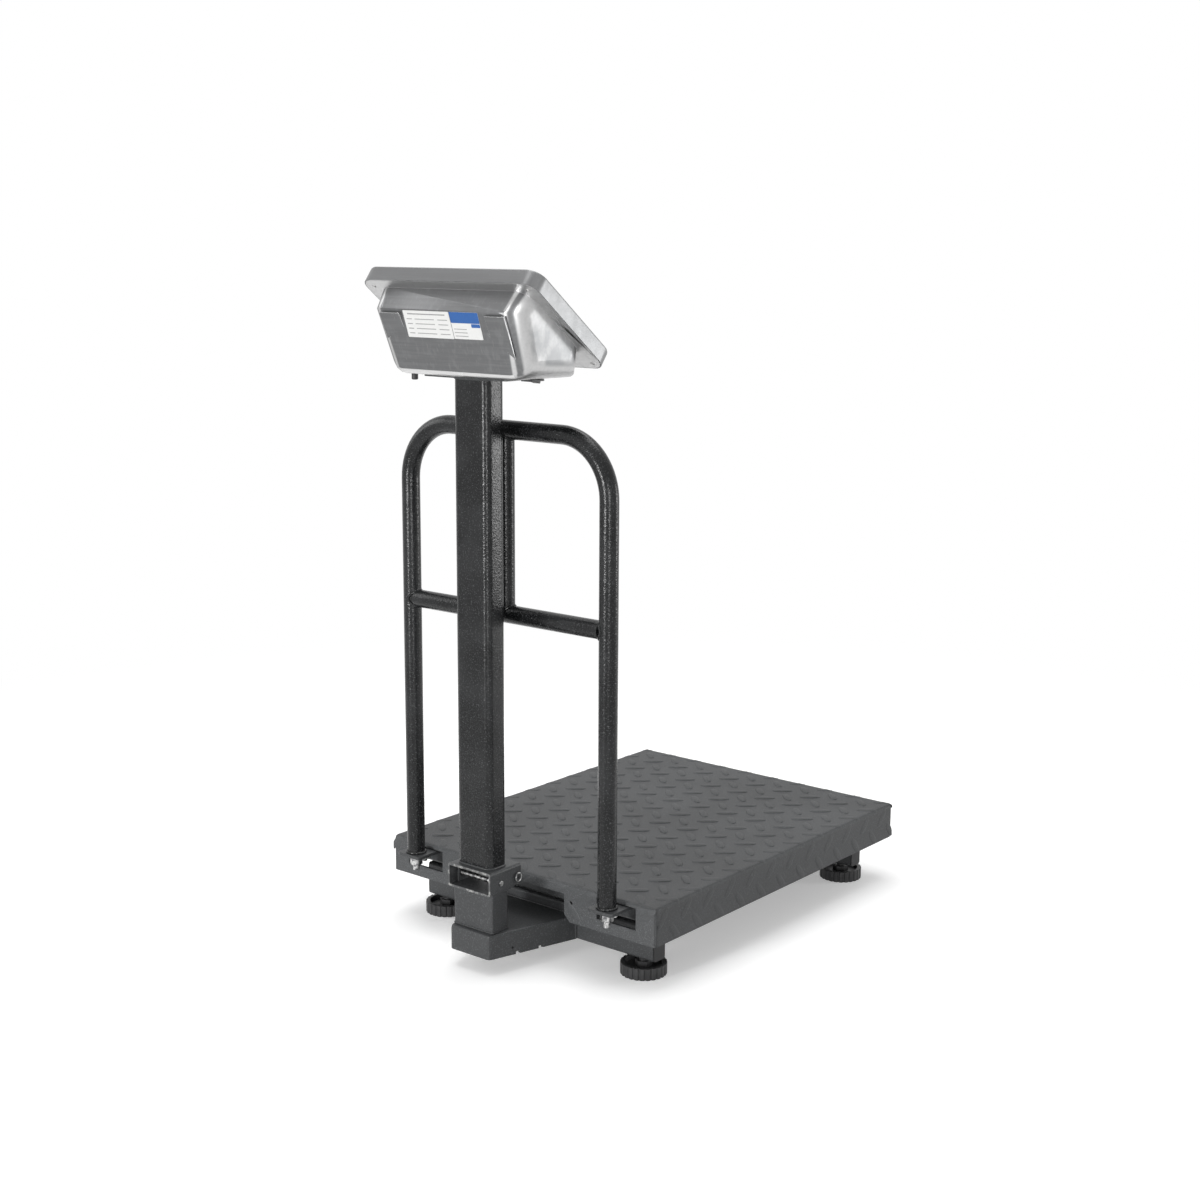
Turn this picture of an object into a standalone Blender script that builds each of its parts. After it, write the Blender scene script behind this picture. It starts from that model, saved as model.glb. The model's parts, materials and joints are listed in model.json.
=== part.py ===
"""A platform scale: a tread-plate pan carried by one load cell on a base with four levelling
feet, a guard rail bolted behind the pan, and a display head on a column that hinges on a post.

Sizes are in metres. Pieces are placed from the platform's centre on the floor: +X is to the
operator's right, +Y runs from the platform to the column, +Z is up. Left, right, front and rear
in the names are the operator's.
"""

import math

import bmesh
import bpy
from mathutils import Matrix, Vector

# Clearances
SEAT_GAP = 0.0003
BOLT_CLEARANCE = 0.0004
PIVOT_CLEARANCE = 0.0001
KEY_CLEARANCE = 0.0004
CUT_PAST = 0.004

# Pan that the goods stand on
PAN_WIDTH = 0.400
PAN_DEPTH = 0.500
PAN_SHEET = 0.003
PAN_SKIRT = 0.044
PAN_EDGE_RADIUS = 0.005
LIP_HALF_WIDTH = 0.071
LIP_HEIGHT = 0.012
EAR_CHAMFER = 0.008
EAR_HOLE_RADIUS = 0.00225
EAR_HOLE_INSET = 0.010
EAR_HOLE_DROP = 0.021
TAB_WINDOW_SIDE = 0.010
TAB_WINDOW_BELOW = 0.020
TAB_WINDOW_ABOVE = 0.0012

# Base frame
BASE_TUBE_INSET = 0.028
BASE_TUBE_DEPTH = 0.020
BASE_TUBE_HEIGHT = 0.040
BASE_TUBE_FROM_END = 0.043
TUBE_WALL = 0.0025
TUBE_CORNER = 0.003
BASE_BEAM_WIDTH = 0.050
BASE_BEAM_HEIGHT = 0.018
PLUG_FACE = 0.0015
PLUG_REACH = 0.008

# Levelling feet
FOOT_RADIUS = 0.0265
FOOT_HEIGHT = 0.0135
FOOT_FLUTES = 24
FLUTE_RIB_END = 0.55
FLUTE_FLOOR_START = 0.68
FLUTE_FLOOR_END = 0.87
FOOT_FLUTE_DEPTH = 0.0013
FOOT_RIM = 0.005
FOOT_RECESS = 0.005
FOOT_HEX_ROOT = 0.0025
FOOT_HEX_FLATS = 0.017
FOOT_HEX_ABOVE = 0.002
FOOT_BELOW_TUBE = 0.0058
FOOT_STUD_RADIUS = 0.005
FOOT_STUD_IN_TUBE = 0.024
FOOT_INSET = 0.0205

# Load cell and the frame that it carries
CELL_LENGTH = 0.130
CELL_WIDTH = 0.030
CELL_HEIGHT = 0.022
CELL_WAIST_RADIUS = 0.0075
CELL_WAIST_SPREAD = 0.018
CELL_WAIST_SLOT = 0.003
SPACER_LENGTH = 0.038
BASE_SPACER = 0.0037
TOP_SPACER = 0.0028
CELL_BOLT_RADIUS = 0.004
CELL_BOLT_FLATS = 0.013
CELL_BOLT_HEAD = 0.005
CELL_BOLT_PITCH = 0.019
CELL_BOLT_GRIP = 0.009
UPPER_TUBE_HEIGHT = 0.020
UPPER_TUBE_DEPTH = 0.025
UPPER_TUBE_FROM_END = 0.0345
UPPER_TUBE_PAST_PAD = 0.002
UPPER_BEAM_WIDTH = 0.040
PAD_LENGTH = 0.020
PAD_DEPTH = 0.018
PAD_HEIGHT = 0.0069
PAD_FROM_TAB = 0.0012

# Guard rail and the tabs that it is bolted to
RAIL_FROM_SIDE = 0.0545
RAIL_BEHIND_PAN = 0.016
RAIL_RADIUS = 0.0105
RAIL_WALL = 0.0015
RAIL_BELOW_HEAD = 0.0605
RAIL_BEND = 0.065
CROSSBAR_ABOVE_TAB = 0.308
UPRIGHT_RADIUS = 0.010
TAB_WIDTH = 0.035
TAB_THICKNESS = 0.004
TAB_BEHIND_RAIL = 0.014
TAB_CORNER = 0.004
STUD_RADIUS = 0.004
STUD_PLUG_HEIGHT = 0.010
STUD_BELOW_NUT = 0.007
NUT_FLATS = 0.013
NUT_HEIGHT = 0.0105

# Arm and post behind the base
ARM_REAR_HALF = 0.0295
ARM_FRONT_HALF = 0.062
ARM_HEIGHT = 0.0287
ARM_SHEET = 0.003
ARM_FOLD_RADIUS = 0.004
ARM_LIFT = 0.0005
ARM_NOTCH_WIDTH = 0.0055
ARM_NOTCH_HEIGHT = 0.003
ARM_NOTCHES_FROM_REAR = (0.037, 0.066)
ARM_HOLE_RADIUS = 0.0015
ARM_HOLE_FROM_REAR = 0.030
ARM_HOLE_RISE = 0.0087
POST_WIDTH = 0.058
POST_DEPTH = 0.0263
POST_HEIGHT = 0.0447
POST_WALL = 0.0025
POST_CORNER = 0.002
POST_BEHIND_COLUMN = 0.0025

# Column and its hinge
COLUMN_BEHIND_PAN = 0.058
COLUMN_WIDTH = 0.050
COLUMN_DEPTH = 0.030
COLUMN_CORNER = 0.008
COLUMN_WALL = 0.0015
COLUMN_LENGTH = 0.540
BRACKET_SIDE_GAP = 0.0005
BRACKET_HEIGHT = 0.027
BRACKET_WALL = 0.0025
BRACKET_CORNER = 0.003
BRACKET_AHEAD = 0.029
BRACKET_BEHIND = 0.022
BRACKET_FLOOR = 0.0115
BRACKET_NOSE_RISE = 0.008
PIN_FROM_FRONT = 0.0065
PIN_RISE = 0.0127
PIN_RADIUS = 0.003
PIN_HEAD_RADIUS = 0.005
PIN_HEAD = 0.0022
PIN_HEAD_CHAMFER = 0.001
PIN_SOCKET_RADIUS = 0.002
PIN_SOCKET_DEPTH = 0.0015
LOCK_FROM_REAR = 0.018
LOCK_RISE = 0.0118
LOCK_RADIUS = 0.003
LOCK_HEX_FLATS = 0.010
LOCK_HEX = 0.004
LOCK_TIP = 0.0008
SADDLE_SHEET = 0.0025
SADDLE_BACK_GAP = 0.0006
SADDLE_HEADROOM = 0.0012
SADDLE_NOSE = 0.0055

# Display head
HEAD_TILT = 37.3
HEAD_WIDTH = 0.246
HEAD_SLOPE = 0.149
COVER_DEPTH = 0.018
COVER_SHEET = 0.001
COVER_CORNER = 0.016
COVER_EDGE = 0.0025
COVER_RIM = 0.001
FLANGE_SHEET = 0.0012
HEAD_SCREW_INSET = 0.009
HEAD_SCREW_RADIUS = 0.0018
HEAD_POST_RADIUS = 0.0035
TUB_SHEET = 0.0012
TUB_TOP_INSET = 0.0133
TUB_TOP_WALL = 0.0271
TUB_TOP_LEAN = 1.6
TUB_BACK_LENGTH = 0.0739
TUB_BACK_SLOPE = 33.9
TUB_FLOOR_LENGTH = 0.0804
TUB_HALF_WIDTH = 0.1083
TUB_SIDE_TAPER = 0.15
TUB_RADIUS = 0.012
TUB_BEHIND_COLUMN = 0.035
PLATE_WIDTH = 0.120
PLATE_DEPTH = 0.046
PLATE_SHEET = 0.002
PLATE_CORNER = 0.004

# Front of the head
WINDOW_WIDTH = 0.166
WINDOW_HEIGHT = 0.040
WINDOW_Y = 0.030
WINDOW_CORNER = 0.003
LENS_MARGIN = 0.006
LENS_SHEET = 0.002
DISPLAY_MARGIN = 0.003
DISPLAY_DEPTH = 0.005
KEY_COLUMNS = 4
KEY_ROWS = 2
KEY_PITCH_X = 0.042
KEY_PITCH_Y = 0.024
KEY_ROWS_Y = -0.028
KEY_WIDTH = 0.030
KEY_HEIGHT = 0.014
KEY_CORNER = 0.003
KEY_PROUD = 0.0016
KEY_FLANGE = 0.002
KEY_FLANGE_SHEET = 0.001
KEY_STEM_SIDE = 0.006
KEY_TRAVEL = 0.0012
BOARD_BESIDE_WINDOW = 0.020
BOARD_HEIGHT = 0.104
BOARD_SHEET = 0.0016
BOARD_STUD_RADIUS = 0.003
BOARD_STUD_INSET_X = 0.006
BOARD_STUD_INSET_Y = 0.008

# Inside and under the head
BATTERY_LENGTH = 0.100
BATTERY_DEPTH = 0.040
BATTERY_HEIGHT = 0.030
BATTERY_FORWARD = 0.034
SWITCH_X = -0.0745
SWITCH_FORWARD = 0.037
SWITCH_WIDTH = 0.013
SWITCH_LENGTH = 0.019
SWITCH_FLANGE = 0.001
SWITCH_FACE = 0.002
SWITCH_BODY = 0.011
SWITCH_WALL = 0.0015
SWITCH_CORNER = 0.001
ROCKER_TILT = 10.0
ROCKER_DROP = 0.001
ROCKER_SLACK = 0.0004
ROCKER_BACK = 0.0025
ROCKER_WELL = 0.0075
ROCKER_HOLLOW = 0.0016
ROCKER_BACK_LENGTH = 0.0076
FUSE_X = 0.079
FUSE_FORWARD = 0.019
FUSE_RADIUS = 0.0036
FUSE_DROP = 0.0075
FUSE_NECK_RADIUS = 0.0028
FUSE_NUT_RADIUS = 0.005
FUSE_INSIDE = 0.004
FUSE_EDGE = 0.0008

# Places and heights that follow from the sizes above
BASE_TUBE_HALF = PAN_WIDTH / 2 - BASE_TUBE_INSET
BASE_TUBE_Y = PAN_DEPTH / 2 - BASE_TUBE_FROM_END
BASE_BOTTOM = FOOT_HEIGHT + FOOT_BELOW_TUBE
BASE_BEAM_TOP = BASE_BOTTOM + BASE_BEAM_HEIGHT
CELL_BOTTOM = BASE_BEAM_TOP + BASE_SPACER + 2 * SEAT_GAP
CELL_TOP = CELL_BOTTOM + CELL_HEIGHT
UPPER_BOTTOM = CELL_TOP + TOP_SPACER + 2 * SEAT_GAP
UPPER_TOP = UPPER_BOTTOM + UPPER_TUBE_HEIGHT
UPPER_TUBE_Y = PAN_DEPTH / 2 - UPPER_TUBE_FROM_END
TAB_BOTTOM = UPPER_TOP + SEAT_GAP
TAB_TOP = TAB_BOTTOM + TAB_THICKNESS
PAN_UNDERSIDE = UPPER_TOP + PAD_HEIGHT + 2 * SEAT_GAP
PAN_TOP = PAN_UNDERSIDE + PAN_SHEET
PAN_BOTTOM = PAN_TOP - PAN_SKIRT
RAIL_HALF_SPAN = PAN_WIDTH / 2 - RAIL_FROM_SIDE
RAIL_Y = PAN_DEPTH / 2 + RAIL_BEHIND_PAN
RAIL_BOTTOM = TAB_TOP + SEAT_GAP
TAB_REAR = RAIL_Y + TAB_BEHIND_RAIL
TAB_FRONT = UPPER_TUBE_Y - UPPER_TUBE_DEPTH / 2
PAD_X = RAIL_HALF_SPAN + TAB_WIDTH / 2 + PAD_FROM_TAB + PAD_LENGTH / 2
UPPER_TUBE_HALF = PAD_X + PAD_LENGTH / 2 + UPPER_TUBE_PAST_PAD
FOOT_X = BASE_TUBE_HALF - FOOT_INSET
COLUMN_Y = PAN_DEPTH / 2 + COLUMN_BEHIND_PAN
ARM_BOTTOM = BASE_BOTTOM + ARM_LIFT
ARM_TOP = ARM_BOTTOM + ARM_HEIGHT
ARM_REAR = COLUMN_Y + BRACKET_BEHIND
ARM_FRONT = BASE_TUBE_Y + BASE_TUBE_DEPTH / 2
POST_Y = COLUMN_Y + POST_BEHIND_COLUMN
POST_FRONT = POST_Y - POST_DEPTH / 2
POST_BOTTOM = ARM_TOP + SEAT_GAP
POST_TOP = POST_BOTTOM + POST_HEIGHT
BRACKET_WIDTH = POST_WIDTH + 2 * (BRACKET_SIDE_GAP + BRACKET_WALL)
BRACKET_BOTTOM = POST_TOP + SEAT_GAP
BRACKET_TOP = BRACKET_BOTTOM + BRACKET_HEIGHT
BRACKET_FRONT = COLUMN_Y - BRACKET_AHEAD
BRACKET_REAR = COLUMN_Y + BRACKET_BEHIND
BRACKET_FLOOR_FRONT = BRACKET_REAR - BRACKET_FLOOR
PIN_Y = BRACKET_FRONT + PIN_FROM_FRONT
PIN_Z = BRACKET_BOTTOM + PIN_RISE
LOCK_Y = BRACKET_REAR - LOCK_FROM_REAR
LOCK_Z = BRACKET_BOTTOM + LOCK_RISE
COLUMN_BOTTOM = BRACKET_TOP + SEAT_GAP
COLUMN_TOP = COLUMN_BOTTOM + COLUMN_LENGTH
TUB_FLOOR = COLUMN_TOP + PLATE_SHEET + 2 * SEAT_GAP
TUB_FLOOR_REAR = COLUMN_Y + TUB_BEHIND_COLUMN
RAIL_TOP = TUB_FLOOR - RAIL_BELOW_HEAD
CROSSBAR_Z = TAB_TOP + CROSSBAR_ABOVE_TAB

# Levels inside the head, below the front of its cover, and the board's width
FLANGE_REAR = COVER_RIM - COVER_DEPTH
FLANGE_FRONT = FLANGE_REAR + FLANGE_SHEET
LENS_FRONT = -COVER_SHEET - SEAT_GAP
DISPLAY_FRONT = LENS_FRONT - LENS_SHEET - SEAT_GAP
BOARD_FRONT = DISPLAY_FRONT - DISPLAY_DEPTH - SEAT_GAP
BOARD_WIDTH = WINDOW_WIDTH + 2 * BOARD_BESIDE_WINDOW

# Rotations that lay a piece's own Z along another axis, in degrees
ALONG_X = (90.0, 0.0, 90.0)
ALONG_Y = (90.0, 0.0, 0.0)
UPSIDE_DOWN = (180.0, 0.0, 0.0)
SIDES = (("left", -1), ("right", 1))
ENDS = (("front", -1), ("rear", 1))

# Colour, roughness and metallic value of each finish
FINISHES = {
    "hammer_paint": ((0.030, 0.032, 0.034), 0.45, 0.30),
    "pan_paint": ((0.070, 0.072, 0.075), 0.60, 0.10),
    "black_plastic": ((0.012, 0.012, 0.013), 0.55, 0.0),
    "rubber": ((0.015, 0.015, 0.015), 0.85, 0.0),
    "zinc": ((0.70, 0.70, 0.68), 0.30, 1.0),
    "stainless": ((0.56, 0.57, 0.58), 0.28, 1.0),
    "aluminium": ((0.62, 0.63, 0.64), 0.40, 1.0),
    "lens": ((0.030, 0.040, 0.036), 0.08, 0.0),
    "display": ((0.35, 0.40, 0.33), 0.30, 0.0),
    "key_plastic": ((0.42, 0.43, 0.44), 0.50, 0.0),
    "circuit_board": ((0.02, 0.13, 0.05), 0.50, 0.0),
}


# Scene, materials and placing

def clear_scene():
    """Remove the objects that Blender starts with."""
    for obj in list(bpy.data.objects):
        bpy.data.objects.remove(obj, do_unlink=True)


def new_collection(name):
    """Make a collection of this name in the scene."""
    collection = bpy.data.collections.new(name)
    bpy.context.scene.collection.children.link(collection)
    return collection


def finish(name):
    """Return the material of this name, made the first time that it is asked for."""
    found = bpy.data.materials.get(name)
    if found:
        return found
    colour, roughness, metallic = FINISHES[name]
    made = bpy.data.materials.new(name)
    made.use_nodes = True
    shader = made.node_tree.nodes["Principled BSDF"]
    shader.inputs["Base Color"].default_value = (*colour, 1.0)
    shader.inputs["Roughness"].default_value = roughness
    shader.inputs["Metallic"].default_value = metallic
    return made


def place(obj, parent, location, rotation):
    """Parent an object and set where it lies in its parent, with its rotation in degrees."""
    obj.parent = parent
    obj.location = location
    obj.rotation_euler = [math.radians(angle) for angle in rotation]


def new_empty(name, parent, location, rotation=(0, 0, 0)):
    """Make an empty that carries other pieces; a moving body's lies on its joint's axis."""
    empty = bpy.data.objects.new(name, None)
    bpy.data.collections["platform_scale"].objects.link(empty)
    place(empty, parent, location, rotation)
    return empty


def add_piece(name, data, finish_name, parent, location=(0, 0, 0), rotation=(0, 0, 0)):
    """Make a named piece of the scale from a mesh or a curve."""
    piece = bpy.data.objects.new(name, data)
    bpy.data.collections["platform_scale"].objects.link(piece)
    place(piece, parent, location, rotation)
    data.materials.append(finish(finish_name))
    return piece


def add_tool(name, mesh, parent, location=(0, 0, 0), rotation=(0, 0, 0)):
    """Make a hidden shape that only cuts a piece or is joined to one."""
    tool = bpy.data.objects.new(name, mesh)
    bpy.data.collections["cutters"].objects.link(tool)
    place(tool, parent, location, rotation)
    tool.hide_render = True
    tool.display_type = "WIRE"
    return tool


def combine(piece, tool, operation="DIFFERENCE"):
    """Cut a piece with a tool, or join the tool to it with UNION."""
    modifier = piece.modifiers.new(tool.name, "BOOLEAN")
    modifier.operation = operation
    modifier.solver = "EXACT"
    modifier.object = tool


# Outlines, as lists of (x, y)

def arc(centre_x, centre_y, radius, start, end, steps):
    """Points on an arc between two angles in degrees, both ends included."""
    turns = [math.radians(start + (end - start) * step / steps) for step in range(steps + 1)]
    return [(centre_x + radius * math.cos(turn), centre_y + radius * math.sin(turn)) for turn in turns]


def circle(radius, x=0.0, y=0.0, steps=16):
    """A circle about a centre."""
    return arc(x, y, radius, 0.0, 360.0, steps)[:-1]


def rounded_rectangle(width, height, radius, steps=4):
    """A rectangle with round corners about the origin."""
    across = width / 2 - radius
    up = height / 2 - radius
    points = []
    for corner_x, corner_y, start in (
        (across, up, 0), (-across, up, 90), (-across, -up, 180), (across, -up, 270),
    ):
        points += arc(corner_x, corner_y, radius, start, start + 90, steps)
    return points


def hexagon(across_flats):
    """A hexagon about the origin, by the width over its flats."""
    return arc(0.0, 0.0, across_flats / math.sqrt(3), 30.0, 390.0, 6)[:-1]


# Meshes and curves

def flat_curve(name, outlines, thickness):
    """A plate or a straight section along its own Z. The first outline is the outside and the
    others are holes."""
    curve = bpy.data.curves.new(name, "CURVE")
    curve.dimensions = "2D"
    curve.fill_mode = "BOTH"
    curve.extrude = thickness / 2
    for outline in outlines:
        spline = curve.splines.new("POLY")
        spline.points.add(len(outline) - 1)
        spline.use_cyclic_u = True
        for point, (x, y) in zip(spline.points, outline):
            point.co = (x, y, 0.0, 1.0)
    return curve


def tube_curve(name, path, radius):
    """The open-ended skin of a round tube along a path of (x, y, z)."""
    curve = bpy.data.curves.new(name, "CURVE")
    curve.dimensions = "3D"
    curve.bevel_depth = radius
    curve.bevel_resolution = 6
    spline = curve.splines.new("POLY")
    spline.points.add(len(path) - 1)
    for point, stop in zip(spline.points, path):
        point.co = (*stop, 1.0)
    return curve


def thicken(obj, sheet):
    """Give an open skin its sheet thickness, inwards."""
    modifier = obj.modifiers.new("sheet", "SOLIDIFY")
    modifier.thickness = sheet
    modifier.offset = -1.0
    modifier.use_even_offset = True


def soften(obj, width, segments=1):
    """Round the sharp edges of a piece."""
    modifier = obj.modifiers.new("edges", "BEVEL")
    modifier.width = width
    modifier.segments = segments
    modifier.limit_method = "ANGLE"
    modifier.angle_limit = math.radians(40)


def mesh_of(curve, wall=0.0):
    """The mesh of a curve with its caps welded on. A wall turns a tube's skin into a tube."""
    source = bpy.data.objects.new(curve.name, curve)
    bpy.context.scene.collection.objects.link(source)
    if wall:
        thicken(source, wall)
    graph = bpy.context.evaluated_depsgraph_get()
    mesh = bpy.data.meshes.new_from_object(source.evaluated_get(graph))
    bpy.data.objects.remove(source, do_unlink=True)
    bpy.data.curves.remove(curve)
    shape = bmesh.new()
    shape.from_mesh(mesh)
    bmesh.ops.remove_doubles(shape, verts=shape.verts, dist=1e-6)
    shape.to_mesh(mesh)
    shape.free()
    return mesh


def plate_mesh(name, outlines, thickness):
    """A plate or a straight section as a mesh, for pieces that are cut or joined."""
    return mesh_of(flat_curve(name, outlines, thickness))


def mesh_from(shape, name):
    """Write a bmesh to a new mesh with its faces pointing out."""
    bmesh.ops.recalc_face_normals(shape, faces=shape.faces)
    mesh = bpy.data.meshes.new(name)
    shape.to_mesh(mesh)
    shape.free()
    return mesh


def block(size_x, size_y, size_z):
    """A bmesh of a box about the origin."""
    shape = bmesh.new()
    bmesh.ops.create_cube(shape, size=1.0)
    bmesh.ops.scale(shape, vec=(size_x, size_y, size_z), verts=shape.verts)
    return shape


def cylinder_mesh(name, radius, length, sides=24):
    """A cylinder along its own Z, about the origin."""
    shape = bmesh.new()
    bmesh.ops.create_cone(
        shape, cap_ends=True, segments=sides, radius1=radius, radius2=radius, depth=length
    )
    mesh = mesh_from(shape, name)
    mesh.shade_smooth()
    mesh.set_sharp_from_angle(angle=math.radians(40))
    return mesh


def stepped_mesh(name, levels, corner, corner_steps=2):
    """A block with round corners that changes width in steps, by levels of (width, height, z)."""
    shape = bmesh.new()
    rings = []
    for width, height, z in levels:
        outline = rounded_rectangle(width, height, corner, corner_steps)
        rings.append([shape.verts.new((x, y, z)) for x, y in outline])
    shape.faces.new(rings[0])
    shape.faces.new(rings[-1])
    for ring, next_ring in zip(rings, rings[1:]):
        for i in range(len(ring)):
            shape.faces.new((ring[i - 1], ring[i], next_ring[i], next_ring[i - 1]))
    return mesh_from(shape, name)


def bevelled(shape, edges, radius, segments):
    """Round some edges of a bmesh."""
    bmesh.ops.bevel(
        shape, geom=edges, offset=radius, offset_type="OFFSET", segments=segments, profile=0.5,
        affect="EDGES", clamp_overlap=True, material=-1,
    )


def at_level(edge, z):
    """Say whether an edge of a bmesh lies in the plane at this height."""
    return all(abs(vert.co.z - z) < 1e-6 for vert in edge.verts)


def turned_piece(name, profile, finish_name, parent, location, rotation=(0, 0, 0), steps=24):
    """A turned piece. Its profile of (radius, z) runs down the outer side, from the axis at its
    top to the axis at its bottom."""
    mesh = bpy.data.meshes.new(name)
    points = [(radius, 0.0, z) for radius, z in profile]
    mesh.from_pydata(points, [(i, i + 1) for i in range(len(points) - 1)], [])
    piece = add_piece(name, mesh, finish_name, parent, location, rotation)
    modifier = piece.modifiers.new("turn", "SCREW")
    modifier.steps = steps
    modifier.render_steps = steps
    modifier.use_merge_vertices = True
    modifier.merge_threshold = 1e-5
    return piece


def cut_box(piece, name, low, high):
    """Cut a box given by its lowest and highest corners."""
    size = [b - a for a, b in zip(low, high)]
    centre = [(a + b) / 2 for a, b in zip(low, high)]
    combine(piece, add_tool(name, mesh_from(block(*size), name), piece.parent, centre))


def cut_hole(piece, name, radius, length, location, rotation=(0, 0, 0)):
    """Cut a round hole about a point, along Z before the rotation."""
    mesh = cylinder_mesh(name, radius, length)
    combine(piece, add_tool(name, mesh, piece.parent, location, rotation))


def rectangular_tube(name, width, height, length, wall, corner, parent, location, rotation):
    """A straight length of rectangular tube along its own Z."""
    inner_corner = max(corner - wall, corner / 4)
    outer = rounded_rectangle(width, height, corner)
    inner = rounded_rectangle(width - 2 * wall, height - 2 * wall, inner_corner)
    mesh = plate_mesh(name, [outer, inner], length)
    return add_piece(name, mesh, "hammer_paint", parent, location, rotation)


def hex_bolt(name, flats, head, radius, length, parent, location, rotation=(0, 0, 0)):
    """A bolt whose head stands on its own z = 0, with its shank running down from there."""
    mesh = plate_mesh(name, [hexagon(flats)], head)
    mesh.transform(Matrix.Translation((0.0, 0.0, head / 2)))
    bolt = add_piece(name, mesh, "zinc", parent, location, rotation)
    shank = cylinder_mesh(name + "_shank", radius, length + head / 2, sides=16)
    combine(bolt, add_tool(name + "_shank", shank, bolt, (0, 0, (head / 2 - length) / 2)), "UNION")
    return bolt


# Base frame and feet

def build_base(root):
    """The two cross tubes with their plugs, and the beam between them."""
    centre_z = BASE_BOTTOM + BASE_TUBE_HEIGHT / 2
    for end, sign in ENDS:
        tube = rectangular_tube(
            f"base_{end}_tube", BASE_TUBE_DEPTH, BASE_TUBE_HEIGHT, 2 * BASE_TUBE_HALF, TUBE_WALL,
            TUBE_CORNER, root, (0, sign * BASE_TUBE_Y, centre_z), ALONG_X,
        )
        for side, across in SIDES:
            cut_hole(
                tube, f"{end}_{side}_foot_hole", FOOT_STUD_RADIUS + BOLT_CLEARANCE, 4 * TUBE_WALL,
                (across * FOOT_X, sign * BASE_TUBE_Y, BASE_BOTTOM),
            )
            add_plug(root, f"tube_plug_{end}_{side}", across, sign * BASE_TUBE_Y, centre_z)
    beam_length = 2 * (BASE_TUBE_Y - BASE_TUBE_DEPTH / 2 - SEAT_GAP)
    beam = rectangular_tube(
        "base_centre_beam", BASE_BEAM_WIDTH, BASE_BEAM_HEIGHT, beam_length, TUBE_WALL, TUBE_CORNER,
        root, (0, 0, BASE_BOTTOM + BASE_BEAM_HEIGHT / 2), ALONG_Y,
    )
    cut_cell_bolt_holes(beam, 1, BASE_BOTTOM + BASE_BEAM_HEIGHT / 2, 2 * BASE_BEAM_HEIGHT)


def add_plug(root, name, across, y, z):
    """The plastic plug in one end of a base tube: a face outside and a block inside."""
    inner_depth = BASE_TUBE_DEPTH - 2 * (TUBE_WALL + SEAT_GAP)
    inner_height = BASE_TUBE_HEIGHT - 2 * (TUBE_WALL + SEAT_GAP)
    levels = (
        (BASE_TUBE_DEPTH, BASE_TUBE_HEIGHT, SEAT_GAP + PLUG_FACE),
        (BASE_TUBE_DEPTH, BASE_TUBE_HEIGHT, SEAT_GAP),
        (inner_depth, inner_height, SEAT_GAP),
        (inner_depth, inner_height, -PLUG_REACH),
    )
    rotation = ALONG_X if across > 0 else (90.0, 0.0, -90.0)
    mesh = stepped_mesh(name, levels, TUBE_CORNER)
    add_piece(name, mesh, "black_plastic", root, (across * BASE_TUBE_HALF, y, z), rotation)


def fluted_outline():
    """The foot's rim seen from above, with a shallow flute between its ribs."""
    points = []
    pitch = 360.0 / FOOT_FLUTES
    for flute in range(FOOT_FLUTES):
        start = flute * pitch
        points += arc(0, 0, FOOT_RADIUS, start, start + FLUTE_RIB_END * pitch, 1)
        floor_start = start + FLUTE_FLOOR_START * pitch
        floor_end = start + FLUTE_FLOOR_END * pitch
        points += arc(0, 0, FOOT_RADIUS - FOOT_FLUTE_DEPTH, floor_start, floor_end, 1)
    return points


def build_feet(root):
    """Four levelling feet. Each turns on its stud in the tube, so its origin is on the stud."""
    for end, sign in ENDS:
        for side, across in SIDES:
            name = f"foot_{end}_{side}"
            mesh = plate_mesh(name, [fluted_outline()], FOOT_HEIGHT)
            mesh.transform(Matrix.Translation((0.0, 0.0, FOOT_HEIGHT / 2)))
            foot = add_piece(name, mesh, "black_plastic", root, (across * FOOT_X, sign * BASE_TUBE_Y, 0))
            recess = cylinder_mesh(name + "_recess", FOOT_RADIUS - FOOT_RIM, 2 * FOOT_RECESS, sides=32)
            combine(foot, add_tool(name + "_recess", recess, foot, (0, 0, FOOT_HEIGHT)))
            hex_bottom = FOOT_HEIGHT - FOOT_RECESS - FOOT_HEX_ROOT
            hex_height = FOOT_HEIGHT + FOOT_HEX_ABOVE - hex_bottom
            nut = plate_mesh(name + "_hex", [hexagon(FOOT_HEX_FLATS)], hex_height)
            nut_tool = add_tool(name + "_hex", nut, foot, (0, 0, hex_bottom + hex_height / 2))
            combine(foot, nut_tool, "UNION")
            stud_top = BASE_BOTTOM + FOOT_STUD_IN_TUBE
            stud = cylinder_mesh(name + "_stud", FOOT_STUD_RADIUS, stud_top - FOOT_HEIGHT, sides=16)
            stud_tool = add_tool(name + "_stud", stud, foot, (0, 0, (stud_top + FOOT_HEIGHT) / 2))
            combine(foot, stud_tool, "UNION")


# Load cell and upper frame

def cell_bolt_places(end):
    """Where the two bolts of one end of the load cell stand along Y."""
    middle = end * (CELL_LENGTH - SPACER_LENGTH) / 2
    return [middle - CELL_BOLT_PITCH / 2, middle + CELL_BOLT_PITCH / 2]


def cut_cell_bolt_holes(piece, end, z, length):
    """Cut the holes for the two bolts of one end of the load cell."""
    for number, y in enumerate(cell_bolt_places(end), 1):
        name = f"{piece.name}_bolt_hole_{number}"
        cut_hole(piece, name, CELL_BOLT_RADIUS + BOLT_CLEARANCE, length, (0, y, z))


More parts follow.
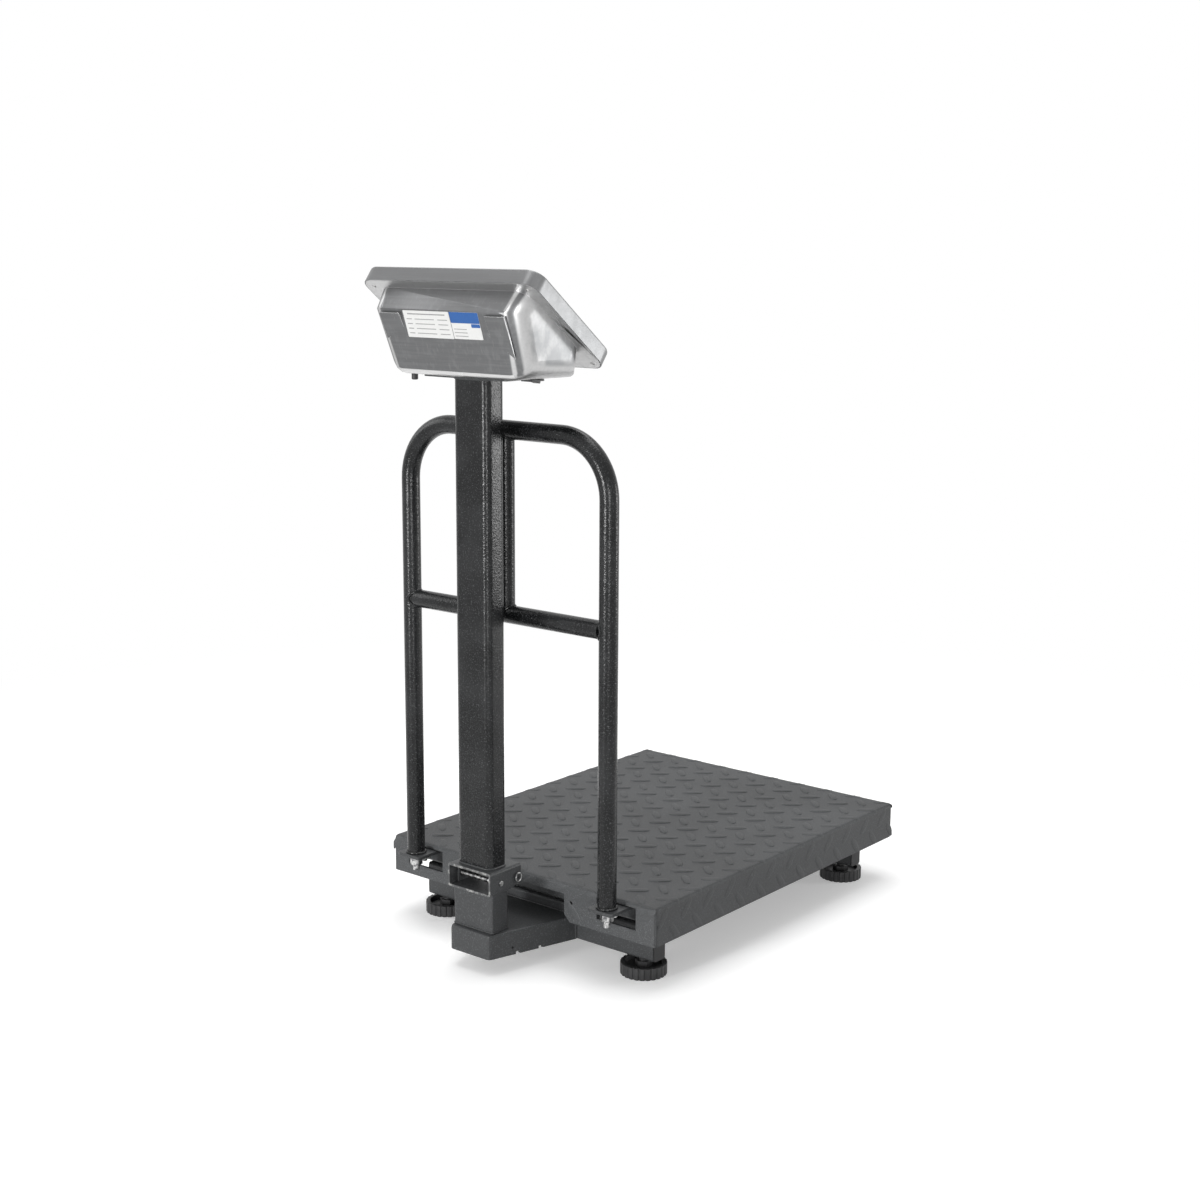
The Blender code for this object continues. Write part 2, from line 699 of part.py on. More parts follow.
def build_load_cell(root):
    """The load cell: fixed to the base by its rear end, and carrying the upper frame by its
    front end, with a thin waist between them that bends."""
    cell_z = CELL_BOTTOM + CELL_HEIGHT / 2
    cell = add_piece(
        "load_cell", mesh_from(block(CELL_WIDTH, CELL_LENGTH, CELL_HEIGHT), "load_cell"),
        "aluminium", root, (0, 0, cell_z),
    )
    for number, sign in enumerate((-1, 1), 1):
        hole_y = sign * CELL_WAIST_SPREAD / 2
        cut_hole(
            cell, f"cell_waist_{number}", CELL_WAIST_RADIUS, 2 * CELL_WIDTH, (0, hole_y, cell_z), ALONG_X
        )
    half = CELL_WAIST_SPREAD / 2
    cut_box(
        cell, "cell_waist_slot", (-CELL_WIDTH, -half, cell_z - CELL_WAIST_SLOT / 2),
        (CELL_WIDTH, half, cell_z + CELL_WAIST_SLOT / 2),
    )
    hole_depth = 2 * (CELL_BOLT_GRIP + BOLT_CLEARANCE)
    for end, z in ((1, CELL_BOTTOM), (-1, CELL_TOP)):
        for number, y in enumerate(cell_bolt_places(end), 1):
            name = f"cell_hole_{end}_{number}"
            cut_hole(cell, name, CELL_BOLT_RADIUS + BOLT_CLEARANCE, hole_depth, (0, y, z))

    for name, end, low, thickness in (
        ("load_cell_base_spacer", 1, BASE_BEAM_TOP + SEAT_GAP, BASE_SPACER),
        ("load_cell_top_spacer", -1, CELL_TOP + SEAT_GAP, TOP_SPACER),
    ):
        y = end * (CELL_LENGTH - SPACER_LENGTH) / 2
        mesh = mesh_from(block(CELL_WIDTH, SPACER_LENGTH, thickness), name)
        spacer = add_piece(name, mesh, "zinc", root, (0, y, low + thickness / 2))
        cut_cell_bolt_holes(spacer, end, low, 4 * thickness)

    base_grip = BASE_BEAM_HEIGHT + BASE_SPACER + 3 * SEAT_GAP + CELL_BOLT_GRIP
    top_grip = UPPER_TUBE_HEIGHT + TOP_SPACER + 3 * SEAT_GAP + CELL_BOLT_GRIP
    for number, y in enumerate(cell_bolt_places(1), 1):
        hex_bolt(
            f"load_cell_base_bolt_{number}", CELL_BOLT_FLATS, CELL_BOLT_HEAD, CELL_BOLT_RADIUS,
            base_grip, root, (0, y, BASE_BOTTOM - SEAT_GAP), UPSIDE_DOWN,
        )
    for number, y in enumerate(cell_bolt_places(-1), 1):
        hex_bolt(
            f"load_cell_top_bolt_{number}", CELL_BOLT_FLATS, CELL_BOLT_HEAD, CELL_BOLT_RADIUS,
            top_grip, root, (0, y, UPPER_TOP + SEAT_GAP),
        )


def build_upper_frame(root):
    """The frame on the load cell: two cross tubes, the beam between them and the rubber pads
    that the pan lies on."""
    centre_z = UPPER_BOTTOM + UPPER_TUBE_HEIGHT / 2
    for end, sign in ENDS:
        rectangular_tube(
            f"upper_{end}_tube", UPPER_TUBE_DEPTH, UPPER_TUBE_HEIGHT, 2 * UPPER_TUBE_HALF, TUBE_WALL,
            TUBE_CORNER, root, (0, sign * UPPER_TUBE_Y, centre_z), ALONG_X,
        )
        for side, across in SIDES:
            name = f"pan_pad_{end}_{side}"
            pad_bottom = UPPER_TOP + SEAT_GAP
            levels = ((PAD_LENGTH, PAD_DEPTH, 0.0), (PAD_LENGTH, PAD_DEPTH, PAD_HEIGHT))
            mesh = stepped_mesh(name, levels, PAD_DEPTH / 8)
            add_piece(name, mesh, "rubber", root, (across * PAD_X, sign * UPPER_TUBE_Y, pad_bottom))
    beam_length = 2 * (UPPER_TUBE_Y - UPPER_TUBE_DEPTH / 2 - SEAT_GAP)
    beam = rectangular_tube(
        "upper_centre_beam", UPPER_BEAM_WIDTH, UPPER_TUBE_HEIGHT, beam_length, TUBE_WALL, TUBE_CORNER,
        root, (0, 0, centre_z), ALONG_Y,
    )
    cut_cell_bolt_holes(beam, -1, centre_z, 2 * UPPER_TUBE_HEIGHT)


# Pan

def build_pan(root):
    """The pressed pan: a flat top with a skirt all round, cut away behind between two ears,
    and a window in each ear for a rail tab."""
    shape = block(PAN_WIDTH, PAN_DEPTH, PAN_SKIRT)
    bottom = -PAN_SKIRT / 2
    bevelled(shape, [edge for edge in shape.edges if not at_level(edge, bottom)], PAN_EDGE_RADIUS, 3)
    floor = [face for face in shape.faces if all(at_level(edge, bottom) for edge in face.edges)]
    bmesh.ops.delete(shape, geom=floor, context="FACES_ONLY")
    mesh = mesh_from(shape, "platform_pan")
    pan = add_piece("platform_pan", mesh, "pan_paint", root, (0, 0, PAN_TOP - PAN_SKIRT / 2))
    thicken(pan, PAN_SHEET)

    half = LIP_HALF_WIDTH
    gap_top = PAN_TOP - LIP_HEIGHT
    gap_outline = [
        (-half - EAR_CHAMFER - CUT_PAST, PAN_BOTTOM - CUT_PAST),
        (half + EAR_CHAMFER + CUT_PAST, PAN_BOTTOM - CUT_PAST),
        (half, PAN_BOTTOM + EAR_CHAMFER),
        (half, gap_top),
        (-half, gap_top),
        (-half, PAN_BOTTOM + EAR_CHAMFER),
    ]
    gap_mesh = plate_mesh("ear_gap", [gap_outline], 4 * PAN_SHEET)
    combine(pan, add_tool("ear_gap", gap_mesh, root, (0, PAN_DEPTH / 2, 0), ALONG_Y))
    for side, across in SIDES:
        near = across * RAIL_HALF_SPAN - TAB_WIDTH / 2 - TAB_WINDOW_SIDE
        far = across * RAIL_HALF_SPAN + TAB_WIDTH / 2 + TAB_WINDOW_SIDE
        cut_box(
            pan, f"tab_window_{side}",
            (near, PAN_DEPTH / 2 - 2 * PAN_SHEET, TAB_BOTTOM - TAB_WINDOW_BELOW),
            (far, PAN_DEPTH / 2 + PAN_SHEET, TAB_TOP + TAB_WINDOW_ABOVE),
        )
        hole = (across * (LIP_HALF_WIDTH + EAR_HOLE_INSET), PAN_DEPTH / 2, PAN_TOP - EAR_HOLE_DROP)
        cut_hole(pan, f"ear_hole_{side}", EAR_HOLE_RADIUS, 4 * PAN_SHEET, hole, ALONG_Y)


# Guard rail

def build_rail(root):
    """The guard rail: a bent hoop, a crossbar coped to its legs and an upright coped between the
    crossbar and the top, with a stud in each leg that a nut pulls down on a tab."""
    left, right = -RAIL_HALF_SPAN, RAIL_HALF_SPAN
    bend_z = RAIL_TOP - RAIL_BEND
    bend = [(x, z) for x, z in arc(left + RAIL_BEND, bend_z, RAIL_BEND, 180, 90, 8)]
    bend += [(x, z) for x, z in arc(right - RAIL_BEND, bend_z, RAIL_BEND, 90, 0, 8)]
    path = [(left, 0.0, RAIL_BOTTOM)] + [(x, 0.0, z) for x, z in bend] + [(right, 0.0, RAIL_BOTTOM)]
    hoop = add_piece(
        "guard_rail_hoop", tube_curve("guard_rail_hoop", path, RAIL_RADIUS), "hammer_paint",
        root, (0, RAIL_Y, 0),
    )
    thicken(hoop, RAIL_WALL)

    crossbar_path = [(left, 0.0, 0.0), (right, 0.0, 0.0)]
    crossbar_tube = mesh_of(tube_curve("guard_rail_crossbar", crossbar_path, RAIL_RADIUS), RAIL_WALL)
    crossbar = add_piece(
        "guard_rail_crossbar", crossbar_tube, "hammer_paint", root, (0, RAIL_Y, CROSSBAR_Z)
    )
    for side, across in SIDES:
        cope = cylinder_mesh(f"cope_{side}", RAIL_RADIUS + SEAT_GAP, 6 * RAIL_RADIUS, sides=32)
        cope_place = (across * RAIL_HALF_SPAN, RAIL_Y, CROSSBAR_Z)
        combine(crossbar, add_tool(f"cope_{side}", cope, root, cope_place))

    upright_path = [(0.0, 0.0, CROSSBAR_Z), (0.0, 0.0, RAIL_TOP)]
    upright_tube = mesh_of(tube_curve("guard_rail_upright", upright_path, UPRIGHT_RADIUS), RAIL_WALL)
    upright = add_piece("guard_rail_upright", upright_tube, "hammer_paint", root, (0, RAIL_Y, 0))
    for name, z in (("cope_low", CROSSBAR_Z), ("cope_high", RAIL_TOP)):
        cope = cylinder_mesh(name, RAIL_RADIUS + SEAT_GAP, 6 * RAIL_RADIUS, sides=32)
        combine(upright, add_tool(name, cope, root, (0, RAIL_Y, z), ALONG_X))

    for side, across in SIDES:
        build_rail_foot(root, side, across * RAIL_HALF_SPAN)


def build_rail_foot(root, side, x):
    """The tab that carries one leg, the stud in the leg and the nut under the tab."""
    depth = TAB_REAR - TAB_FRONT
    hole_y = RAIL_Y - (TAB_REAR + TAB_FRONT) / 2
    outlines = [
        rounded_rectangle(TAB_WIDTH, depth, TAB_CORNER),
        circle(STUD_RADIUS + BOLT_CLEARANCE, 0.0, hole_y),
    ]
    tab_place = (x, (TAB_REAR + TAB_FRONT) / 2, TAB_BOTTOM + TAB_THICKNESS / 2)
    add_piece(
        f"rail_tab_{side}", flat_curve(f"rail_tab_{side}", outlines, TAB_THICKNESS), "hammer_paint",
        root, tab_place,
    )
    plug_radius = RAIL_RADIUS - RAIL_WALL - SEAT_GAP
    tip = STUD_BELOW_NUT + NUT_HEIGHT + TAB_THICKNESS + 2 * SEAT_GAP
    stud_profile = [
        (0.0, STUD_PLUG_HEIGHT), (plug_radius, STUD_PLUG_HEIGHT), (plug_radius, 0.0),
        (STUD_RADIUS, 0.0), (STUD_RADIUS, -tip), (0.0, -tip),
    ]
    turned_piece(f"rail_stud_{side}", stud_profile, "zinc", root, (x, RAIL_Y, RAIL_BOTTOM), steps=16)
    nut_outlines = [hexagon(NUT_FLATS), circle(STUD_RADIUS + BOLT_CLEARANCE)]
    nut_z = TAB_BOTTOM - SEAT_GAP - NUT_HEIGHT / 2
    add_piece(
        f"rail_nut_{side}", flat_curve(f"rail_nut_{side}", nut_outlines, NUT_HEIGHT), "zinc",
        root, (x, RAIL_Y, nut_z),
    )


# Arm, post and hinge

def build_arm(root):
    """The folded arm that reaches back from the base under the post: open below and in front,
    and wider where it meets the rear tube."""
    length = ARM_REAR - ARM_FRONT
    shape = block(2.0, length, ARM_HEIGHT)
    for vert in shape.verts:
        vert.co.x *= ARM_REAR_HALF if vert.co.y > 0 else ARM_FRONT_HALF
    bottom, front = -ARM_HEIGHT / 2, -length / 2
    folds = [
        edge for edge in shape.edges
        if not at_level(edge, bottom) and not all(vert.co.y < 0 for vert in edge.verts)
    ]
    bevelled(shape, folds, ARM_FOLD_RADIUS, 2)
    open_faces = [
        face for face in shape.faces
        if all(abs(vert.co.z - bottom) < 1e-6 for vert in face.verts)
        or all(abs(vert.co.y - front) < 1e-6 for vert in face.verts)
    ]
    bmesh.ops.delete(shape, geom=open_faces, context="FACES_ONLY")
    arm = add_piece(
        "column_arm", mesh_from(shape, "column_arm"), "hammer_paint", root,
        (0, (ARM_REAR + ARM_FRONT) / 2, ARM_BOTTOM + ARM_HEIGHT / 2),
    )
    thicken(arm, ARM_SHEET)
    reach = 2 * ARM_FRONT_HALF
    cut_box(
        arm, "arm_front_trim", (-reach, ARM_FRONT - 2 * ARM_SHEET, ARM_BOTTOM - CUT_PAST),
        (reach, ARM_FRONT + SEAT_GAP, ARM_TOP + CUT_PAST),
    )
    for number, from_rear in enumerate(ARM_NOTCHES_FROM_REAR, 1):
        y = ARM_REAR - from_rear
        cut_box(
            arm, f"arm_notch_{number}", (-reach, y - ARM_NOTCH_WIDTH / 2, ARM_BOTTOM - CUT_PAST),
            (reach, y + ARM_NOTCH_WIDTH / 2, ARM_BOTTOM + ARM_NOTCH_HEIGHT),
        )
    hole = (0, ARM_REAR - ARM_HOLE_FROM_REAR, ARM_BOTTOM + ARM_HOLE_RISE)
    cut_hole(arm, "arm_hole", ARM_HOLE_RADIUS, reach, hole, ALONG_X)


def build_post(root):
    """The short post on the arm, with the hinge saddle on top of it."""
    rectangular_tube(
        "column_post", POST_WIDTH, POST_DEPTH, POST_HEIGHT, POST_WALL, POST_CORNER, root,
        (0, POST_Y, (POST_BOTTOM + POST_TOP) / 2), (0, 0, 0),
    )
    back = BRACKET_FLOOR_FRONT - SADDLE_BACK_GAP
    bottom = POST_TOP + SEAT_GAP
    top = BRACKET_TOP - BRACKET_WALL - SADDLE_HEADROOM
    side_outline = [(back, bottom), (back, top), (POST_FRONT, top)]
    side_outline += arc(PIN_Y, PIN_Z, SADDLE_NOSE, 100, 235, 6)
    side_outline += [(POST_FRONT, bottom)]
    mesh = plate_mesh("hinge_saddle", [side_outline], POST_WIDTH)
    saddle = add_piece("hinge_saddle", mesh, "hammer_paint", root, (0, 0, 0), ALONG_X)
    inside = POST_WIDTH / 2 - SADDLE_SHEET
    cut_box(
        saddle, "saddle_channel", (-inside, BRACKET_FRONT - CUT_PAST, bottom + SADDLE_SHEET),
        (inside, back + CUT_PAST, top + CUT_PAST),
    )
    cut_hole(
        saddle, "saddle_pin_hole", PIN_RADIUS + PIVOT_CLEARANCE, 2 * POST_WIDTH, (0, PIN_Y, PIN_Z), ALONG_X
    )
    slot = LOCK_RADIUS + BOLT_CLEARANCE
    cut_box(
        saddle, "saddle_lock_slot", (-POST_WIDTH, LOCK_Y - slot, LOCK_Z - slot),
        (POST_WIDTH, LOCK_Y + slot, top + CUT_PAST),
    )


def on_column(x, y, z):
    """A place on the column, from the hinge pin that the column turns on."""
    return (x, y - PIN_Y, z - PIN_Z)


def build_hinge(column_axis):
    """The bracket under the column, the pin that it turns on and the bolt that locks it."""
    length = BRACKET_AHEAD + BRACKET_BEHIND
    bracket = rectangular_tube(
        "hinge_bracket", BRACKET_WIDTH, BRACKET_HEIGHT, length, BRACKET_WALL, BRACKET_CORNER,
        column_axis, on_column(0, (BRACKET_FRONT + BRACKET_REAR) / 2, BRACKET_BOTTOM + BRACKET_HEIGHT / 2),
        ALONG_Y,
    )
    inside = BRACKET_WIDTH / 2 - BRACKET_WALL
    cut_box(
        bracket, "bracket_floor_gap", on_column(-inside, BRACKET_FRONT - CUT_PAST, BRACKET_BOTTOM - CUT_PAST),
        on_column(inside, BRACKET_FLOOR_FRONT, BRACKET_BOTTOM + BRACKET_WALL + BRACKET_CORNER / 4),
    )
    ahead = BRACKET_FRONT - CUT_PAST
    below = BRACKET_BOTTOM - CUT_PAST
    nose_top = BRACKET_BOTTOM + BRACKET_NOSE_RISE
    nose_outline = [
        (ahead, below), (POST_FRONT, below), (POST_FRONT, BRACKET_BOTTOM), (BRACKET_FRONT, nose_top),
        (ahead, nose_top + CUT_PAST * BRACKET_NOSE_RISE / (POST_FRONT - BRACKET_FRONT)),
    ]
    nose = plate_mesh("bracket_nose", [nose_outline], 2 * BRACKET_WIDTH)
    combine(bracket, add_tool("bracket_nose", nose, column_axis, on_column(0, 0, 0), ALONG_X))
    cut_hole(
        bracket, "bracket_pin_hole", PIN_RADIUS + PIVOT_CLEARANCE, 2 * BRACKET_WIDTH,
        on_column(0, PIN_Y, PIN_Z), ALONG_X,
    )
    cut_hole(
        bracket, "bracket_lock_hole", LOCK_RADIUS + PIVOT_CLEARANCE, 2 * BRACKET_WIDTH,
        on_column(0, LOCK_Y, LOCK_Z), ALONG_X,
    )

    face = BRACKET_WIDTH / 2 + SEAT_GAP
    end = face + PIN_HEAD
    pin_profile = [
        (0.0, end - PIN_SOCKET_DEPTH), (PIN_SOCKET_RADIUS, end - PIN_SOCKET_DEPTH), (PIN_SOCKET_RADIUS, end),
        (PIN_HEAD_RADIUS - PIN_HEAD_CHAMFER, end), (PIN_HEAD_RADIUS, end - PIN_HEAD_CHAMFER),
        (PIN_HEAD_RADIUS, face), (PIN_RADIUS, face), (PIN_RADIUS, -face), (PIN_HEAD_RADIUS, -face),
        (PIN_HEAD_RADIUS, PIN_HEAD_CHAMFER - end), (PIN_HEAD_RADIUS - PIN_HEAD_CHAMFER, -end),
        (PIN_SOCKET_RADIUS, -end),
        (PIN_SOCKET_RADIUS, PIN_SOCKET_DEPTH - end), (0.0, PIN_SOCKET_DEPTH - end),
    ]
    turned_piece("hinge_pin", pin_profile, "hammer_paint", column_axis, (0, 0, 0), ALONG_X)
    hex_bolt(
        "lock_bolt", LOCK_HEX_FLATS, LOCK_HEX, LOCK_RADIUS, 2 * face + LOCK_TIP, column_axis,
        on_column(face, LOCK_Y, LOCK_Z), ALONG_X,
    )


def build_column(column_axis):
    """The column tube and the plate on it that carries the head."""
    rectangular_tube(
        "column", COLUMN_WIDTH, COLUMN_DEPTH, COLUMN_LENGTH, COLUMN_WALL, COLUMN_CORNER, column_axis,
        on_column(0, COLUMN_Y, (COLUMN_BOTTOM + COLUMN_TOP) / 2), (0, 0, 0),
    )
    outline = rounded_rectangle(PLATE_WIDTH, PLATE_DEPTH, PLATE_CORNER, steps=3)
    add_piece(
        "head_mount_plate", flat_curve("head_mount_plate", [outline], PLATE_SHEET), "hammer_paint",
        column_axis, on_column(0, COLUMN_Y, COLUMN_TOP + SEAT_GAP + PLATE_SHEET / 2),
    )


# Display head, in its own frame: the origin is the centre of the cover's front, +Y runs up the
# slope and +Z points out of the front

def tub_corners():
    """The five corners of the tub's section as (y, z), from the upper end of its mouth down its
    top wall, its back and its level floor to the lower end of its mouth."""
    tilt = math.radians(HEAD_TILT)
    upper = Vector((HEAD_SLOPE / 2 - TUB_TOP_INSET, FLANGE_REAR))
    crest = upper - Vector((TUB_TOP_WALL * math.tan(math.radians(TUB_TOP_LEAN)), TUB_TOP_WALL))
    slope = math.radians(TUB_BACK_SLOPE)
    heel = crest - TUB_BACK_LENGTH * Vector((math.cos(slope), math.sin(slope)))
    toe = heel + TUB_FLOOR_LENGTH * Vector((-math.cos(tilt), math.sin(tilt)))
    rise = (FLANGE_REAR - toe.y) / math.cos(tilt)
    lower = toe + rise * Vector((math.sin(tilt), math.cos(tilt)))
    return [upper, crest, heel, toe, lower]


def crossing(start, along, other, other_along):
    """The point where two lines in a plane cross."""
    offset = other - start
    turn = along.x * other_along.y - along.y * other_along.x
    return start + along * ((offset.x * other_along.y - offset.y * other_along.x) / turn)


def tub_mesh(name, inset, mouth):
    """The tub as a solid, with its walls moved in by an inset and its mouth at a level."""
    corners = tub_corners()
    walls = []
    for first, second in zip(corners, corners[1:]):
        along = (second - first).normalized()
        walls.append((first + inset * Vector((along.y, -along.x)), along))
    mouth_line = (Vector((0.0, mouth)), Vector((1.0, 0.0)))
    lines = [mouth_line] + walls + [mouth_line]
    section = [crossing(*one, *two) for one, two in zip(lines, lines[1:])]

    shape = bmesh.new()
    side = shape.faces.new([shape.verts.new((-1.0, point.x, point.y)) for point in section])
    other_side = bmesh.ops.extrude_face_region(shape, geom=[side])["geom"]
    moved = [item for item in other_side if isinstance(item, bmesh.types.BMVert)]
    bmesh.ops.translate(shape, vec=(2.0, 0.0, 0.0), verts=moved)
    for vert in shape.verts:
        vert.co.x *= TUB_HALF_WIDTH - inset - TUB_SIDE_TAPER * (FLANGE_REAR - vert.co.z)
    bmesh.ops.recalc_face_normals(shape, faces=shape.faces)
    bevelled(shape, [edge for edge in shape.edges if not at_level(edge, mouth)], TUB_RADIUS - inset, 4)
    return mesh_from(shape, name)


def head_screw_places():
    """The four corners where the rear shell is screwed to the cover."""
    x = HEAD_WIDTH / 2 - HEAD_SCREW_INSET
    y = HEAD_SLOPE / 2 - HEAD_SCREW_INSET
    return [(-x, -y), (x, -y), (x, y), (-x, y)]


def build_rear_shell(head):
    """The pressed rear shell: a flange that fits inside the cover's rim, and a deep tub with a
    level floor that stands on the column's plate."""
    margin = COVER_SHEET + SEAT_GAP
    outline = rounded_rectangle(
        HEAD_WIDTH - 2 * margin, HEAD_SLOPE - 2 * margin, COVER_CORNER - margin, steps=6
    )
    mesh = plate_mesh("head_rear_shell", [outline], FLANGE_SHEET)
    mesh.transform(Matrix.Translation((0.0, 0.0, FLANGE_REAR + FLANGE_SHEET / 2)))
    shell = add_piece("head_rear_shell", mesh, "stainless", head)
    outer = tub_mesh("tub_outside", 0.0, FLANGE_REAR + FLANGE_SHEET / 2)
    inner = tub_mesh("tub_inside", TUB_SHEET, FLANGE_FRONT + CUT_PAST)
    combine(shell, add_tool("tub_outside", outer, head), "UNION")
    combine(shell, add_tool("tub_inside", inner, head))
    for number, (x, y) in enumerate(head_screw_places(), 1):
        place_z = FLANGE_REAR + FLANGE_SHEET / 2
        cut_hole(shell, f"flange_hole_{number}", HEAD_SCREW_RADIUS, 3 * FLANGE_SHEET, (x, y, place_z))
    return shell


def build_cover(head):
    """The front cover: a shallow pressed tray with a window and key holes, and posts inside for
    the rear shell's screws and for the circuit board."""
    shape = block(HEAD_WIDTH, HEAD_SLOPE, COVER_DEPTH)
    front, rear = COVER_DEPTH / 2, -COVER_DEPTH / 2
    upright = [edge for edge in shape.edges if not at_level(edge, front) and not at_level(edge, rear)]
    bevelled(shape, upright, COVER_CORNER, 6)
    rim = [edge for edge in shape.edges if at_level(edge, front)]
    bevelled(shape, rim, COVER_EDGE, 2)
    back = [face for face in shape.faces if all(at_level(edge, rear) for edge in face.edges)]
    bmesh.ops.delete(shape, geom=back, context="FACES_ONLY")
    bmesh.ops.translate(shape, vec=(0.0, 0.0, rear), verts=shape.verts)
    cover = add_piece("head_front_cover", mesh_from(shape, "head_front_cover"), "stainless", head)
    thicken(cover, COVER_SHEET)

    window = plate_mesh(
        "display_window", [rounded_rectangle(WINDOW_WIDTH, WINDOW_HEIGHT, WINDOW_CORNER)], 4 * COVER_SHEET
    )
    combine(cover, add_tool("display_window", window, head, (0, WINDOW_Y, 0)))
    key_hole = plate_mesh(
        "key_hole",
        [rounded_rectangle(KEY_WIDTH + 2 * KEY_CLEARANCE, KEY_HEIGHT + 2 * KEY_CLEARANCE, KEY_CORNER, 2)],
        4 * COVER_SHEET,
    )
    for number, (x, y) in enumerate(key_places(), 1):
        combine(cover, add_tool(f"key_hole_{number}", key_hole, head, (x, y, 0)))

    posts = [(x, y, HEAD_POST_RADIUS, FLANGE_FRONT + SEAT_GAP) for x, y in head_screw_places()]
    stud_x = BOARD_WIDTH / 2 - BOARD_STUD_INSET_X
    stud_y = BOARD_HEIGHT / 2 - BOARD_STUD_INSET_Y
    for x, y in ((-stud_x, -stud_y), (stud_x, -stud_y), (stud_x, stud_y), (-stud_x, stud_y)):
        posts.append((x, y, BOARD_STUD_RADIUS, BOARD_FRONT + SEAT_GAP))
    for number, (x, y, radius, end) in enumerate(posts, 1):
        start = -COVER_SHEET / 2
        post = cylinder_mesh(f"cover_post_{number}", radius, start - end, sides=12)
        tool = add_tool(f"cover_post_{number}", post, head, (x, y, (start + end) / 2))
        combine(cover, tool, "UNION")


def key_places():
    """The centres of the keys, row by row from the upper left."""
    places = []
    for row in range(KEY_ROWS):
        y = KEY_ROWS_Y + KEY_PITCH_Y * ((KEY_ROWS - 1) / 2 - row)
        for column in range(KEY_COLUMNS):
            places.append((KEY_PITCH_X * (column - (KEY_COLUMNS - 1) / 2), y))
    return places


def build_keys(head):
    """The keys. Each slides along its own Z in a hole of the cover, held in by its flange, until
    its stem meets the board."""
    flange_top = -COVER_SHEET - SEAT_GAP
    flange_bottom = flange_top - KEY_FLANGE_SHEET
    flange_width = KEY_WIDTH + 2 * KEY_FLANGE
    flange_height = KEY_HEIGHT + 2 * KEY_FLANGE
    levels = (
        (KEY_WIDTH, KEY_HEIGHT, KEY_PROUD),
        (KEY_WIDTH, KEY_HEIGHT, flange_top),
        (flange_width, flange_height, flange_top),
        (flange_width, flange_height, flange_bottom),
        (KEY_STEM_SIDE, KEY_STEM_SIDE, flange_bottom),
        (KEY_STEM_SIDE, KEY_STEM_SIDE, BOARD_FRONT + SEAT_GAP + KEY_TRAVEL),
    )
    for number, (x, y) in enumerate(key_places(), 1):
        mesh = stepped_mesh(f"key_{number}", levels, KEY_CORNER)
        add_piece(f"key_{number}", mesh, "key_plastic", head, (x, y, 0))


def build_display(head):
    """The window's lens, the display behind it and the circuit board behind the display."""
    lens_width = WINDOW_WIDTH + 2 * LENS_MARGIN
    lens_height = WINDOW_HEIGHT + 2 * LENS_MARGIN
    outline = rounded_rectangle(lens_width, lens_height, WINDOW_CORNER)
    add_piece(
        "display_lens", flat_curve("display_lens", [outline], LENS_SHEET), "lens", head,
        (0, WINDOW_Y, LENS_FRONT - LENS_SHEET / 2),
    )
    display = block(lens_width - 2 * DISPLAY_MARGIN, lens_height - 2 * DISPLAY_MARGIN, DISPLAY_DEPTH)
    add_piece(
        "display_module", mesh_from(display, "display_module"), "display", head,
        (0, WINDOW_Y, DISPLAY_FRONT - DISPLAY_DEPTH / 2),
    )
    board = block(BOARD_WIDTH, BOARD_HEIGHT, BOARD_SHEET)
    add_piece(
        "main_board", mesh_from(board, "main_board"), "circuit_board", head,
        (0, 0, BOARD_FRONT - BOARD_SHEET / 2),
    )


def build_battery(column_axis):
    """The battery, standing on the floor of the tub."""
    battery = block(BATTERY_LENGTH, BATTERY_DEPTH, BATTERY_HEIGHT)
    z = TUB_FLOOR + TUB_SHEET + SEAT_GAP + BATTERY_HEIGHT / 2
    add_piece(
        "battery", mesh_from(battery, "battery"), "black_plastic", column_axis,
        on_column(0, TUB_FLOOR_REAR - BATTERY_FORWARD, z),
    )


